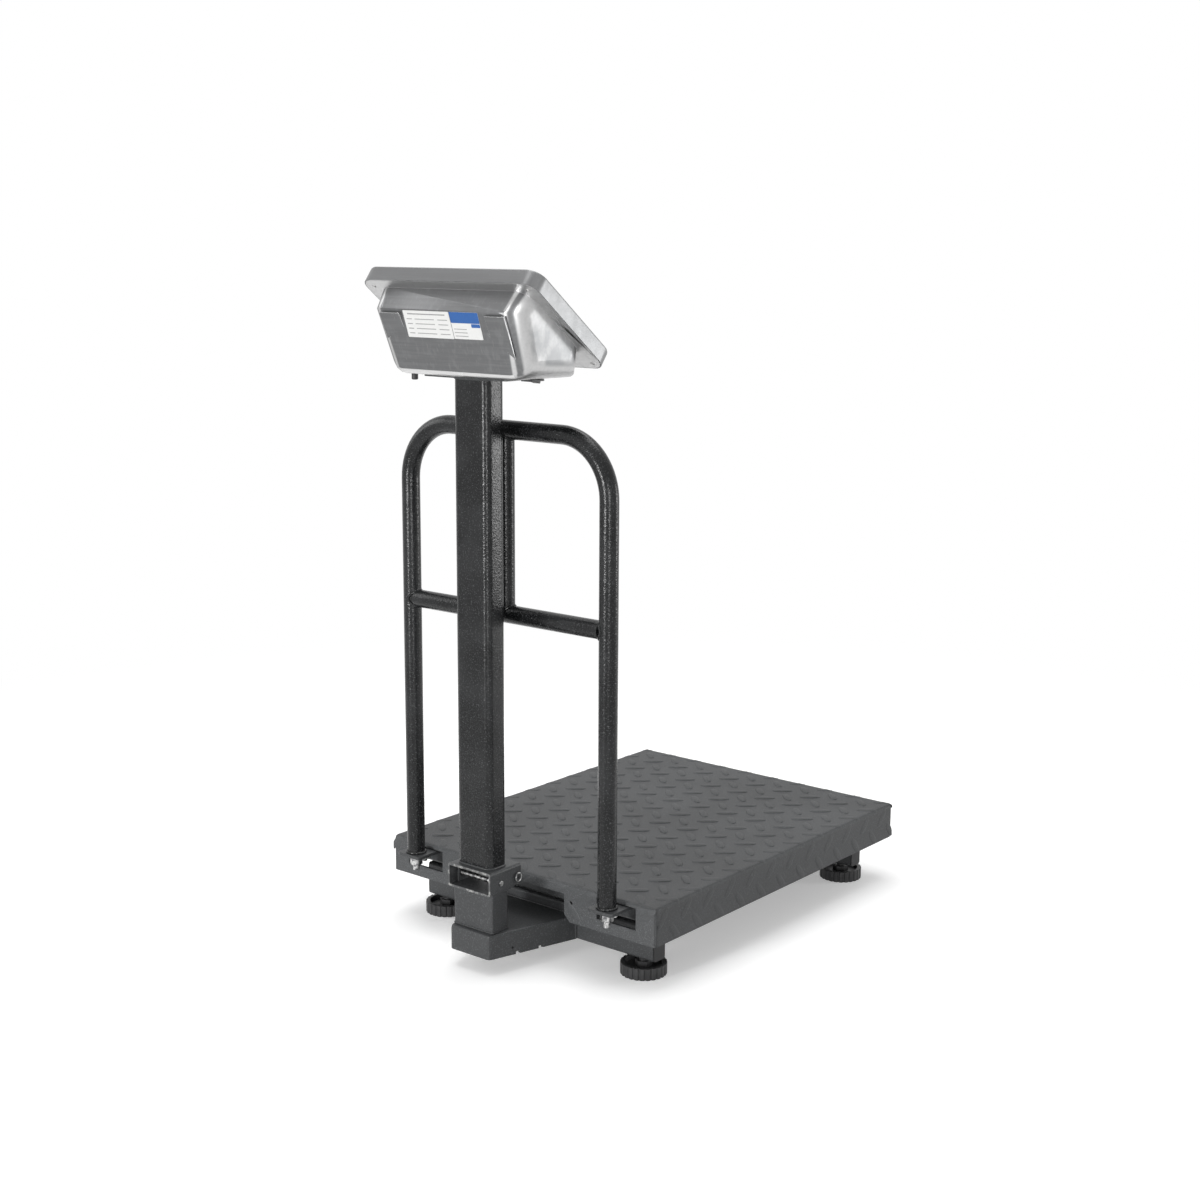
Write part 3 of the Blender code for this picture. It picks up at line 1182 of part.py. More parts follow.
def build_switch(column_axis, shell):
    """The power switch in the tub's floor: a body with a well, and a rocker that turns in it."""
    y = TUB_FLOOR_REAR - SWITCH_FORWARD
    face_top = TUB_FLOOR - SEAT_GAP
    face_bottom = face_top - SWITCH_FACE
    flange_width = SWITCH_WIDTH + 2 * SWITCH_FLANGE
    flange_length = SWITCH_LENGTH + 2 * SWITCH_FLANGE
    levels = (
        (flange_width, flange_length, -SWITCH_FACE),
        (flange_width, flange_length, 0.0),
        (SWITCH_WIDTH, SWITCH_LENGTH, 0.0),
        (SWITCH_WIDTH, SWITCH_LENGTH, SWITCH_BODY),
    )
    mesh = stepped_mesh("power_switch_body", levels, SWITCH_CORNER)
    body = add_piece(
        "power_switch_body", mesh, "black_plastic", column_axis, on_column(SWITCH_X, y, face_top)
    )
    half_width = SWITCH_WIDTH / 2 - SWITCH_WALL
    half_length = SWITCH_LENGTH / 2 - SWITCH_WALL
    cut_box(
        body, "switch_well", on_column(SWITCH_X - half_width, y - half_length, face_bottom - CUT_PAST),
        on_column(SWITCH_X + half_width, y + half_length, face_bottom + ROCKER_WELL),
    )
    hole = plate_mesh(
        "switch_hole",
        [rounded_rectangle(SWITCH_WIDTH + 2 * SEAT_GAP, SWITCH_LENGTH + 2 * SEAT_GAP, SWITCH_CORNER, 2)],
        6 * TUB_SHEET,
    )
    combine(shell, add_tool("switch_hole", hole, column_axis, on_column(SWITCH_X, y, TUB_FLOOR)))

    reach = half_length - ROCKER_SLACK
    outline = arc(0, 0, reach, 160, 200, 4) + [(0.0, -ROCKER_HOLLOW)] + arc(0, 0, reach, 340, 380, 4)
    back = ROCKER_BACK + ROCKER_DROP
    outline += [(ROCKER_BACK_LENGTH / 2, back), (-ROCKER_BACK_LENGTH / 2, back)]
    rocker_mesh = plate_mesh("power_rocker", [outline], 2 * (half_width - ROCKER_SLACK))
    rocker_mesh.transform(Matrix.Rotation(math.radians(ROCKER_TILT), 4, "Z"))
    add_piece(
        "power_rocker", rocker_mesh, "black_plastic", column_axis,
        on_column(SWITCH_X, y, face_bottom + ROCKER_DROP), ALONG_X,
    )


def build_fuse_cap(column_axis, shell):
    """The round fuse cap under the tub's floor, held by a nut inside."""
    y = TUB_FLOOR_REAR - FUSE_FORWARD
    inner = TUB_SHEET + SEAT_GAP
    profile = [
        (0.0, inner + FUSE_INSIDE), (FUSE_NUT_RADIUS, inner + FUSE_INSIDE), (FUSE_NUT_RADIUS, inner),
        (FUSE_NECK_RADIUS, inner), (FUSE_NECK_RADIUS, -SEAT_GAP), (FUSE_RADIUS, -SEAT_GAP),
        (FUSE_RADIUS, FUSE_EDGE - FUSE_DROP), (FUSE_RADIUS - FUSE_EDGE, -FUSE_DROP), (0.0, -FUSE_DROP),
    ]
    turned_piece("fuse_cap", profile, "black_plastic", column_axis, on_column(FUSE_X, y, TUB_FLOOR), steps=20)
    hole = cylinder_mesh("fuse_hole", FUSE_NECK_RADIUS + SEAT_GAP, 6 * TUB_SHEET)
    combine(shell, add_tool("fuse_hole", hole, column_axis, on_column(FUSE_X, y, TUB_FLOOR)))


def build_head(column_axis):
    """The head, placed so that the tub's floor lies level on the column's plate."""
    tilt = math.radians(HEAD_TILT)
    heel = tub_corners()[2]
    centre_y = TUB_FLOOR_REAR - (heel.x * math.cos(tilt) - heel.y * math.sin(tilt))
    centre_z = TUB_FLOOR - (heel.x * math.sin(tilt) + heel.y * math.cos(tilt))
    head = new_empty("head_frame", column_axis, on_column(0, centre_y, centre_z), (HEAD_TILT, 0, 0))
    shell = build_rear_shell(head)
    build_cover(head)
    build_keys(head)
    build_display(head)
    build_battery(column_axis)
    build_switch(column_axis, shell)
    build_fuse_cap(column_axis, shell)


def centre_over_origin(root):
    """Move the whole scale along Y so that its outer box is centred over the origin."""
    bpy.context.view_layer.update()
    graph = bpy.context.evaluated_depsgraph_get()
    reach = []
    for piece in bpy.data.collections["platform_scale"].objects:
        if piece.type != "EMPTY":
            solid = piece.evaluated_get(graph)
            reach += [(piece.matrix_world @ vertex.co).y for vertex in solid.to_mesh().vertices]
            solid.to_mesh_clear()
    root.location.y = -(min(reach) + max(reach)) / 2


def main():
    clear_scene()
    new_collection("platform_scale")
    new_collection("cutters").hide_render = True
    root = new_empty("base_frame", None, (0, 0, 0))
    build_base(root)
    build_feet(root)
    build_load_cell(root)
    build_upper_frame(root)
    build_pan(root)
    build_rail(root)
    build_arm(root)
    build_post(root)
    column_axis = new_empty("column_axis", root, (0, PIN_Y, PIN_Z))
    build_hinge(column_axis)
    build_column(column_axis)
    build_head(column_axis)
    centre_over_origin(root)


main()
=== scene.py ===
"""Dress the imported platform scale: a finish for every solid, soft edges on its folded and moulded
pieces, the lugs of the tread plate, welds, fasteners, blank labels, the display's figures and the
keys' marks, in a plain studio seen from the photograph's side.

Sizes are in metres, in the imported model's frame: +X is to the operator's right, +Y runs from the
platform to the column and +Z is up.
"""

import json
import logging
import math
from collections.abc import Iterable, Sequence
from dataclasses import dataclass, field
from enum import Enum
from typing import Union

import bmesh
import bpy
from mathutils import Matrix, Vector

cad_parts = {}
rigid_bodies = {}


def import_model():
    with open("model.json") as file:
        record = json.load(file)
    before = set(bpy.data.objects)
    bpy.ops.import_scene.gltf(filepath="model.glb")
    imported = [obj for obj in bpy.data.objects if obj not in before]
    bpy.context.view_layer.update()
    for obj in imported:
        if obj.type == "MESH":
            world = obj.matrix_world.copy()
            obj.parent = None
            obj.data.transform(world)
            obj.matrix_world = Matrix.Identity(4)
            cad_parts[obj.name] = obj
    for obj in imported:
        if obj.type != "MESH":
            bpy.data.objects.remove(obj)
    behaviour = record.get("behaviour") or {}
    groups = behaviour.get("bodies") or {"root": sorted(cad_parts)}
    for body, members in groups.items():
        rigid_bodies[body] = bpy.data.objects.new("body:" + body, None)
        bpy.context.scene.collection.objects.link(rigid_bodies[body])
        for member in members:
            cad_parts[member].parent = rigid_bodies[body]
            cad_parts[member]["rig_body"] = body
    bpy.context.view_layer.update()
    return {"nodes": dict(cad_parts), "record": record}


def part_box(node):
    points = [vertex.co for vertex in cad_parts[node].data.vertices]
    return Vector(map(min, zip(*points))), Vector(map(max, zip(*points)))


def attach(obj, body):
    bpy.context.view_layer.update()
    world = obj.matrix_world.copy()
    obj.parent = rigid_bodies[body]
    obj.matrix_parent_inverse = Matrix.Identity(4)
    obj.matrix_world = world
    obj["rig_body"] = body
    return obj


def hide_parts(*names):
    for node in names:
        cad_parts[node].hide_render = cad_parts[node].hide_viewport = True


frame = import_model()

log = logging.getLogger("platform_scale")

Colour = tuple[float, float, float]
Point = tuple[float, float, float]
Flat = tuple[float, float]


class Body(Enum):
    """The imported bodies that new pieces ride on."""

    BASE = "base"
    COLUMN = "column_and_head"
    KEY_1 = "key_1_body"
    KEY_2 = "key_2_body"
    KEY_3 = "key_3_body"
    KEY_4 = "key_4_body"
    KEY_5 = "key_5_body"
    KEY_6 = "key_6_body"
    KEY_7 = "key_7_body"
    KEY_8 = "key_8_body"


class Slot(Enum):
    """The record's material slots, each with its finish in this scene."""

    HAMMER_PAINT = "hammer_paint"
    PAN_PAINT = "pan_paint"
    BLACK_PLASTIC = "black_plastic"
    RUBBER = "rubber"
    ZINC = "zinc"
    STAINLESS = "stainless"
    ALUMINIUM = "aluminium"
    LENS = "lens"
    DISPLAY = "display"
    KEY_PLASTIC = "key_plastic"
    CIRCUIT_BOARD = "circuit_board"


# Shader graph


class Signal:
    """A value that varies over a surface. Arithmetic on it adds Math nodes."""

    def __init__(self, graph: "Graph", socket: bpy.types.NodeSocket) -> None:
        """Wrap one output socket of a graph."""
        self.graph = graph
        self.socket = socket

    def _math(self, operation: str, first: "Term", second: "Term") -> "Signal":
        """Add one Math node over two terms."""
        return self.graph.node("ShaderNodeMath", {"operation": operation}, {0: first, 1: second})

    def __add__(self, other: "Term") -> "Signal":
        """Add a term."""
        return self._math("ADD", self, other)

    def __radd__(self, other: "Term") -> "Signal":
        """Add to a number."""
        return self._math("ADD", other, self)

    def __sub__(self, other: "Term") -> "Signal":
        """Subtract a term."""
        return self._math("SUBTRACT", self, other)

    def __rsub__(self, other: "Term") -> "Signal":
        """Subtract from a number."""
        return self._math("SUBTRACT", other, self)

    def __mul__(self, other: "Term") -> "Signal":
        """Multiply by a term."""
        return self._math("MULTIPLY", self, other)

    def __rmul__(self, other: "Term") -> "Signal":
        """Multiply a number."""
        return self._math("MULTIPLY", other, self)

    def between(self, low: float, high: float) -> "Signal":
        """Map a range of values smoothly onto 0 to 1.

        Args:
            low: The value that becomes 0.
            high: The value that becomes 1.

        Returns:
            The mapped signal, clamped at both ends.
        """
        return self.graph.node(
            "ShaderNodeMapRange",
            {"interpolation_type": "SMOOTHSTEP", "clamp": True},
            {"Value": self, "From Min": low, "From Max": high, "To Min": 0.0, "To Max": 1.0},
        )


Term = Union[Signal, float, int]


class Graph:
    """A node tree to which every node is added in one way."""

    def __init__(self, tree: bpy.types.NodeTree) -> None:
        """Start from a tree."""
        self.tree = tree

    def node(
        self, kind: str, settings: dict, values: dict, output: Union[str, int] = 0
    ) -> Signal:
        """Add a node.

        Args:
            kind: The node's type.
            settings: Its own attributes, which are set first.
            values: Numbers, colours or signals for its input sockets.
            output: The output socket that is wanted.

        Returns:
            The output as a signal.
        """
        made = self.tree.nodes.new(kind)
        for key, value in settings.items():
            setattr(made, key, value)
        for key, value in values.items():
            self.feed(made.inputs[key], value)
        return Signal(self, None if output is None else made.outputs[output])

    def feed(self, socket: bpy.types.NodeSocket, value: object) -> None:
        """Link a signal to a socket, or set the socket's own value.

        Args:
            socket: The socket.
            value: A signal, or a value that the socket takes.
        """
        if isinstance(value, Signal):
            self.tree.links.new(value.socket, socket)
        else:
            socket.default_value = value

    def seen(self) -> Signal:
        """Tell what the camera sees, straight, in a reflection or through a window.

        Returns:
            1 for what is seen and 0 for what only gives light.
        """
        camera, glossy, through = (
            self.node("ShaderNodeLightPath", {}, {}, f"Is {kind} Ray")
            for kind in ("Camera", "Glossy", "Transmission")
        )
        return self.node("ShaderNodeClamp", {}, {"Value": camera + glossy + through})


class Surface(Graph):
    """A material's node graph round one Principled shader."""

    def __init__(self, name: str) -> None:
        """Start the material and find its shader.

        Args:
            name: The material's name.
        """
        self.material = bpy.data.materials.new(name)
        self.material.use_nodes = True
        super().__init__(self.material.node_tree)
        self.shader = self.tree.nodes["Principled BSDF"]
        self.coordinates = self.node("ShaderNodeTexCoord", {}, {}, "Object")

    def put(self, **values: object) -> None:
        """Feed sockets of the shader, with spaces in their names written as underscores."""
        for key, value in values.items():
            self.feed(self.shader.inputs[key.replace("_", " ")], value)

    def stretched(self, stretch: Point) -> Signal:
        """Stretch the object coordinates.

        Args:
            stretch: A scale along each axis.

        Returns:
            The stretched coordinates.
        """
        return self.node(
            "ShaderNodeMapping", {"vector_type": "POINT"},
            {"Vector": self.coordinates, "Scale": stretch},
        )

    def noise(
        self, grain: float, detail: float = 2.0, roughness: float = 0.5, stretch: Point = (1, 1, 1)
    ) -> Signal:
        """Add smooth noise.

        Args:
            grain: The size of its blotches.
            detail: How many finer layers it has.
            roughness: How strong the finer layers are.
            stretch: A scale along each axis.

        Returns:
            The noise, about 0.5.
        """
        return self.node(
            "ShaderNodeTexNoise", {},
            {
                "Vector": self.stretched(stretch), "Scale": 1.0 / grain,
                "Detail": detail, "Roughness": roughness,
            },
        )

    def cells(self, size: float, smoothness: float = 0.6) -> Signal:
        """Add rounded cells about scattered points.

        Args:
            size: The size of a cell.
            smoothness: How far the cells run into each other.

        Returns:
            The distance to the nearest point, which is 0 at each and rises between them.
        """
        return self.node(
            "ShaderNodeTexVoronoi", {"feature": "SMOOTH_F1"},
            {"Vector": self.coordinates, "Scale": 1.0 / size, "Smoothness": smoothness},
        )

    def facing(self, axis: str) -> Signal:
        """Return how far the surface faces along X, Y or Z, from -1 to 1."""
        outward = self.node("ShaderNodeTexCoord", {}, {}, "Normal")
        return self.node("ShaderNodeSeparateXYZ", {}, {"Vector": outward}, axis)

    def mix(self, mask: Term, first: object, second: object) -> Signal:
        """Mix two colours by a mask.

        Args:
            mask: 0 for the first and 1 for the second.
            first: A colour, or a signal that carries one.
            second: A colour, or a signal that carries one.

        Returns:
            The mixed colour.
        """
        colours = [
            colour if isinstance(colour, Signal) else (*colour, 1.0) for colour in (first, second)
        ]
        return self.node(
            "ShaderNodeMix", {"data_type": "RGBA"},
            {"Factor": mask, 6: colours[0], 7: colours[1]}, 2,
        )

    def bump(self, height: Signal, strength: float, distance: float) -> None:
        """Raise the surface by a height that varies.

        Args:
            height: The height from 0 to 1.
            strength: How much of it shows.
            distance: The height of 1, in metres.
        """
        raised = self.node(
            "ShaderNodeBump", {}, {"Strength": strength, "Distance": distance, "Height": height},
            "Normal",
        )
        self.put(Normal=raised)


# Finishes


class Finish:
    """A finish, which names its material and lays its colour on a surface."""

    name: str

    def material(self) -> bpy.types.Material:
        """Build the finish's material.

        Returns:
            The material.
        """
        surface = Surface(self.name)
        self.lay(surface)
        return surface.material

    def lay(self, surface: Surface) -> None:
        """Feed the surface's shader, which each finish does in its own way."""
        raise NotImplementedError


@dataclass(frozen=True)
class HammerPaint(Finish):
    """Hammer-effect paint: fine rounded dimples with paler flecks."""

    name: str = "hammer_paint"
    ground: Colour = (0.042, 0.0435, 0.045)
    fleck: Colour = (0.100, 0.104, 0.108)
    spread: Flat = (0.50, 0.72)
    dimple: float = 0.0020
    blotch: float = 0.0016
    grain: float = 0.0006
    cloud: float = 0.050
    gloss: float = 0.34
    relief: float = 0.25
    depth: float = 0.0006

    def lay(self, surface: Surface) -> None:
        """Lay the finish.

        Args:
            surface: The surface that it is laid on.
        """
        dimples = surface.cells(self.dimple)
        blotch = surface.noise(self.blotch, roughness=0.55)
        fine = surface.noise(self.grain, roughness=0.6)
        cloud = surface.noise(self.cloud)
        flecks = blotch.between(*self.spread) * fine.between(0.36, 0.60)
        body = surface.mix(flecks, self.ground, self.fleck)
        tint = surface.mix(cloud.between(0.35, 0.7) * 0.15, body, self.fleck)
        surface.put(
            Base_Color=tint, Roughness=self.gloss + 0.10 * fine, Specular_IOR_Level=0.26
        )
        surface.bump(dimples * 0.7 + blotch * 0.7, self.relief, self.depth)


@dataclass(frozen=True)
class WornEdge(Finish):
    """Paint that is rubbed through to bright metal along an edge, in patches."""

    name: str = "worn_edge"
    paint: Colour = (0.060, 0.062, 0.064)
    metal: Colour = (0.34, 0.34, 0.33)
    bare: Flat = (0.47, 0.60)
    patch: float = 0.010
    speck: float = 0.0012
    depth: float = 0.0003

    def lay(self, surface: Surface) -> None:
        """Lay the finish.

        Args:
            surface: The surface that it is laid on.
        """
        patch = surface.noise(self.patch, detail=3.0, roughness=0.65)
        speck = surface.noise(self.speck, roughness=0.6)
        rubbed = (patch * 0.7 + speck * 0.3).between(*self.bare)
        surface.put(
            Base_Color=surface.mix(rubbed, self.paint, self.metal),
            Metallic=0.2 + 0.6 * rubbed, Roughness=0.34 + 0.1 * speck,
        )
        surface.bump(speck, 0.15, self.depth)


@dataclass(frozen=True)
class PanPaint(Finish):
    """Matt dark grey paint with a fine orange peel and pale specks, with painted shade on the pan's
    sides and painted light on its rear, whose pale specks are also stronger."""

    name: str = "pan_paint"
    ground: Colour = (0.030, 0.0312, 0.0325)
    pale: Colour = (0.042, 0.044, 0.046)
    # The pale specks' colour, which also paints light on rear faces.
    speck_and_painted_light: Colour = (0.15, 0.155, 0.16)
    # The colour of the painted shade on faces that don't point up.
    shaded: Colour = (0.016, 0.017, 0.018)
    peel: float = 0.0012
    speck: float = 0.0007
    cloud: float = 0.120
    depth: float = 0.0005

    def lay(self, surface: Surface) -> None:
        """Lay the finish.

        Args:
            surface: The surface that it is laid on.
        """
        peel = surface.noise(self.peel, roughness=0.55)
        speck = surface.noise(self.speck, detail=1.0)
        cloud = surface.noise(self.cloud)
        shade = surface.mix(cloud.between(0.3, 0.72), self.ground, self.pale)
        rearward, upward = surface.facing("Y"), surface.facing("Z")
        # Painted shade: faces that don't point up, such as the pan's sides, go half way to a darker
        # colour.
        shade = surface.mix(upward.between(0.5, 0.0) * 0.5, shade, self.shaded)
        # Painted light: faces toward the rear go a quarter of the way to the pale specks' colour,
        # and their specks are doubled.
        shade = surface.mix(rearward.between(0.5, 0.9) * 0.25, shade, self.speck_and_painted_light)
        grainy = 0.5 + 0.5 * rearward.between(0.5, 0.9)
        shade = surface.mix(speck.between(0.56, 0.76) * grainy, shade, self.speck_and_painted_light)
        surface.put(Base_Color=shade, Roughness=0.46 + 0.14 * peel, Specular_IOR_Level=0.32)
        surface.bump(peel + 0.5 * speck, 0.40, self.depth)


@dataclass(frozen=True)
class SteelSheet(Finish):
    """Stainless sheet with painted reflections: sides, floor and flange painted brighter than its
    back, and painted highlight bands round its corners; with brush lines along X and faint handling
    marks."""

    name: str
    # Painted reflection: the back, upper faces, sides and corner bands each get a colour of their
    # own.
    back: Colour = (0.155, 0.157, 0.160)
    upper: Colour = (0.180, 0.182, 0.185)
    side: Colour = (0.31, 0.315, 0.32)
    band: Colour = (0.52, 0.52, 0.52)
    bands: float = 1.0
    brush: float = 0.5
    gloss: float = 0.26
    trough: Colour = (0.09, 0.09, 0.09)
    depth: float = 0.0003

    def lay(self, surface: Surface) -> None:
        """Lay the finish.

        Args:
            surface: The surface that it is laid on.
        """
        upward = surface.facing("Z")
        across = surface.facing("X")
        sideways = surface.node("ShaderNodeMath", {"operation": "ABSOLUTE"}, {0: across})
        cloud = surface.noise(0.055, 2.0, 0.5)
        mottle = surface.noise(0.009, 3.0, 0.55, (1.6, 1.0, 0.7))
        grain = surface.noise(0.0007, 2.0, 0.6, (0.02, 1.0, 1.0))
        streak = surface.noise(0.0030, 3.0, 0.6, (0.03, 1.0, 1.0))
        smear = surface.noise(0.0016, 2.0, 0.5, (1.0, 0.5, 0.10)).between(0.60, 0.78)
        # Painted reflection: faces that point up are lighter than the back; the floor, which points
        # down, gets the brighter side colour and the flange the brightest.
        shade = surface.mix(upward.between(-0.10, 0.55), self.back, self.upper)
        shade = surface.mix(upward.between(-0.55, -0.78), shade, self.side)
        flange = upward.between(-0.55, -0.78) * upward.between(-0.98, -0.88)
        shade = surface.mix(flange, shade, self.band)
        # Painted reflection on the sides, in patches.
        patch = cloud * 0.7 + mottle * 0.3
        flank = surface.mix(patch.between(0.40, 0.62) * self.bands, self.side, self.band)
        shade = surface.mix(sideways.between(0.70, 0.92), shade, flank)
        # Painted highlight bands across the rounded corners, picked by which way each face points.
        painted_highlight = (
            sideways.between(0.14, 0.26) * sideways.between(0.46, 0.36)
            + sideways.between(0.60, 0.72) * sideways.between(0.96, 0.88)
        )
        shade = surface.mix(painted_highlight * self.bands, shade, self.band)
        shade = surface.mix(mottle.between(0.50, 0.72) * 0.16, shade, self.side)
        shade = surface.mix(smear * 0.12, shade, self.band)
        shade = surface.mix(streak.between(0.40, 0.70) * self.brush * 0.30, shade, self.side)
        shade = surface.mix(grain * self.brush * 0.30, shade, self.trough)
        surface.put(
            Base_Color=shade, Metallic=1.0, Roughness=self.gloss + 0.12 * mottle + 0.08 * grain
        )
        surface.bump(grain * self.brush + mottle * 0.4, 0.10, self.depth)


@dataclass(frozen=True)
class BrightZinc(Finish):
    """Bright zinc plating, a little cloudy."""

    name: str = "zinc"

    def lay(self, surface: Surface) -> None:
        """Lay the finish.

        Args:
            surface: The surface that it is laid on.
        """
        cloud = surface.noise(0.004, 3.0, 0.6)
        shade = surface.mix(cloud.between(0.36, 0.64), (0.13, 0.13, 0.135), (0.60, 0.60, 0.59))
        surface.put(Base_Color=shade, Metallic=1.0, Roughness=0.24 + 0.2 * cloud)
        surface.bump(cloud, 0.10, 0.0002)


@dataclass(frozen=True)
class Moulding(Finish):
    """A moulded plastic or rubber with a fine grain."""

    name: str
    ground: Colour
    pale: Colour
    roughness: float = 0.5
    grain: float = 0.0007
    relief: float = 0.15

    def lay(self, surface: Surface) -> None:
        """Lay the finish.

        Args:
            surface: The surface that it is laid on.
        """
        grain = surface.noise(self.grain, 2.0)
        cloud = surface.noise(0.012, 2.0)
        shade = surface.mix(cloud.between(0.3, 0.75) * 0.6 + grain * 0.3, self.ground, self.pale)
        surface.put(
            Base_Color=shade, Roughness=self.roughness + 0.12 * grain, Specular_IOR_Level=0.4
        )
        surface.bump(grain, self.relief, 0.0002)


@dataclass(frozen=True)
class MilledAluminium(Finish):
    """Milled aluminium with fine cutter lines."""

    name: str = "aluminium"

    def lay(self, surface: Surface) -> None:
        """Lay the finish.

        Args:
            surface: The surface that it is laid on.
        """
        lines = surface.noise(0.0009, 2.0, 0.5, (1.0, 0.04, 1.0))
        shade = surface.mix(lines, (0.50, 0.51, 0.52), (0.74, 0.75, 0.76))
        surface.put(Base_Color=shade, Metallic=1.0, Roughness=0.28 + 0.2 * lines)
        surface.bump(lines, 0.1, 0.0002)


@dataclass(frozen=True)
class DarkLens(Finish):
    """A dark clear plastic window."""

    name: str = "lens"

    def lay(self, surface: Surface) -> None:
        """Lay the finish.

        Args:
            surface: The surface that it is laid on.
        """
        haze = surface.noise(0.02, 2.0)
        surface.put(
            Base_Color=surface.mix(haze, (0.010, 0.014, 0.012), (0.020, 0.026, 0.022)),
            Roughness=0.05 + 0.05 * haze, Alpha=0.22,
        )


@dataclass(frozen=True)
class LiquidCrystal(Finish):
    """A grey-green liquid-crystal panel with faint uneven stripes."""

    name: str = "display"

    def lay(self, surface: Surface) -> None:
        """Lay the finish.

        Args:
            surface: The surface that it is laid on.
        """
        rows = surface.noise(0.0009, 0.0, 0.5, (1.0, 0.2, 0.2))
        shade = surface.mix(rows.between(0.3, 0.7), (0.30, 0.36, 0.25), (0.37, 0.43, 0.31))
        surface.put(Base_Color=shade, Roughness=0.22 + 0.1 * rows)


@dataclass(frozen=True)
class CircuitBoard(Finish):
    """Green solder mask with paler tracks between darker fields."""

    name: str = "circuit_board"

    def lay(self, surface: Surface) -> None:
        """Lay the finish.

        Args:
            surface: The surface that it is laid on.
        """
        tracks = surface.cells(0.004, 0.05).between(0.35, 0.5)
        shade = surface.mix(tracks, (0.012, 0.10, 0.035), (0.03, 0.20, 0.07))
        surface.put(Base_Color=shade, Roughness=0.35 + 0.1 * tracks)


@dataclass(frozen=True)
class Print(Finish):
    """Printed film or ink, with a slight unevenness."""

    name: str
    ground: Colour
    pale: Colour
    roughness: float = 0.38

    def lay(self, surface: Surface) -> None:
        """Lay the finish.

        Args:
            surface: The surface that it is laid on.
        """
        fibre = surface.noise(0.002, 3.0, 0.6)
        shade = surface.mix(fibre, self.ground, self.pale)
        surface.put(Base_Color=shade, Roughness=self.roughness + 0.08 * fibre)
        surface.bump(fibre, 0.05, 0.0001)


class Palette:
    """Every finish of the scale, by slot and by the names of the few that no slot has."""

    def __init__(self) -> None:
        """Make each material once."""
        finishes = {
            Slot.HAMMER_PAINT: HammerPaint(),
            Slot.PAN_PAINT: PanPaint(),
            Slot.BLACK_PLASTIC: Moulding(
                "black_plastic", (0.016, 0.016, 0.017), (0.040, 0.040, 0.041), roughness=0.40
            ),
            Slot.RUBBER: Moulding(
                "rubber", (0.010,) * 3, (0.030,) * 3, roughness=0.75, grain=0.0012, relief=0.3
            ),
            Slot.ZINC: BrightZinc(),
            # The stainless sheet carries painted reflections.
            Slot.STAINLESS: SteelSheet("stainless"),
            Slot.ALUMINIUM: MilledAluminium(),
            Slot.LENS: DarkLens(),
            Slot.DISPLAY: LiquidCrystal(),
            Slot.KEY_PLASTIC: Moulding(
                "key_plastic", (0.33, 0.34, 0.35), (0.46, 0.47, 0.48), roughness=0.45
            ),
            Slot.CIRCUIT_BOARD: CircuitBoard(),
        }
        self.by_slot = {slot: finish.material() for slot, finish in finishes.items()}
        # The cover's brushed steel, with weaker painted reflections.
        self.brushed_painted_reflection = SteelSheet(
            "stainless_brushed_painted_reflection", back=(0.175, 0.176, 0.180), upper=(0.175, 0.177, 0.180),
            side=(0.20, 0.203, 0.206), band=(0.30, 0.303, 0.306), bands=0.30, brush=1.0,
            gloss=0.30,
        ).material()
        # A bright copy of the steel that paints highlights on the shell's fillet, heel and wedges.
        self.painted_highlight = SteelSheet(
            "stainless_painted_highlight", back=(0.62,) * 3, upper=(0.50,) * 3, side=(0.50,) * 3,
            band=(0.62,) * 3, bands=0.60, brush=0.4, gloss=0.20,
        ).material()
        self.dark_hammer = HammerPaint(
            "hammer_paint_dark", ground=(0.006, 0.0063, 0.0067), fleck=(0.080, 0.083, 0.086),
            spread=(0.54, 0.70), dimple=0.0019, gloss=0.17, relief=0.36,
        ).material()
        self.plug = Moulding(
            "plug_plastic", (0.006, 0.006, 0.0065), (0.014, 0.014, 0.0145), roughness=0.55
        ).material()
        self.worn = WornEdge().material()
        self.paper = Print("label_film", (0.70, 0.70, 0.69), (0.80, 0.80, 0.79)).material()
        self.blue = Print("label_band", (0.012, 0.085, 0.30), (0.018, 0.11, 0.36)).material()
        self.grey_ink = Print("grey_ink", (0.26,) * 3, (0.36,) * 3).material()
        self.dark_ink = Print(
            "dark_ink", (0.015, 0.016, 0.018), (0.03, 0.03, 0.032), roughness=0.5
        ).material()


# Meshes


TINY = 1e-6  # what is smaller than this counts as nothing
CORNER_STEPS = 4  # steps of each round corner


def new_object(
    name: str, shape: bmesh.types.BMesh, material: bpy.types.Material
) -> bpy.types.Object:
    """Put a bmesh into the scene as an object.

    Args:
        name: The object's name.
        shape: The shape, which is freed.
        material: Its finish.

    Returns:
        The new object.
    """
    mesh = bpy.data.meshes.new(name)
    shape.to_mesh(mesh)
    shape.free()
    mesh.materials.append(material)
    made = bpy.data.objects.new(name, mesh)
    bpy.context.scene.collection.objects.link(made)
    return made


def fit_out(piece: bpy.types.Object, body: str, smooth: float) -> None:
    """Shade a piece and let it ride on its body.

    Large faces are shaded flat, so that the small ones round them carry the bend.

    Args:
        piece: The piece.
        body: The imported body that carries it.
        smooth: Edges sharper than this many degrees stay crisp.
    """
    piece.data.shade_smooth()
    piece.data.set_sharp_from_angle(angle=math.radians(smooth))
    modifier = piece.modifiers.new("level_faces", "WEIGHTED_NORMAL")
    modifier.keep_sharp = True
    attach(piece, body)
    log.info("%s rides on %s, %d faces", piece.name, body, len(piece.data.polygons))


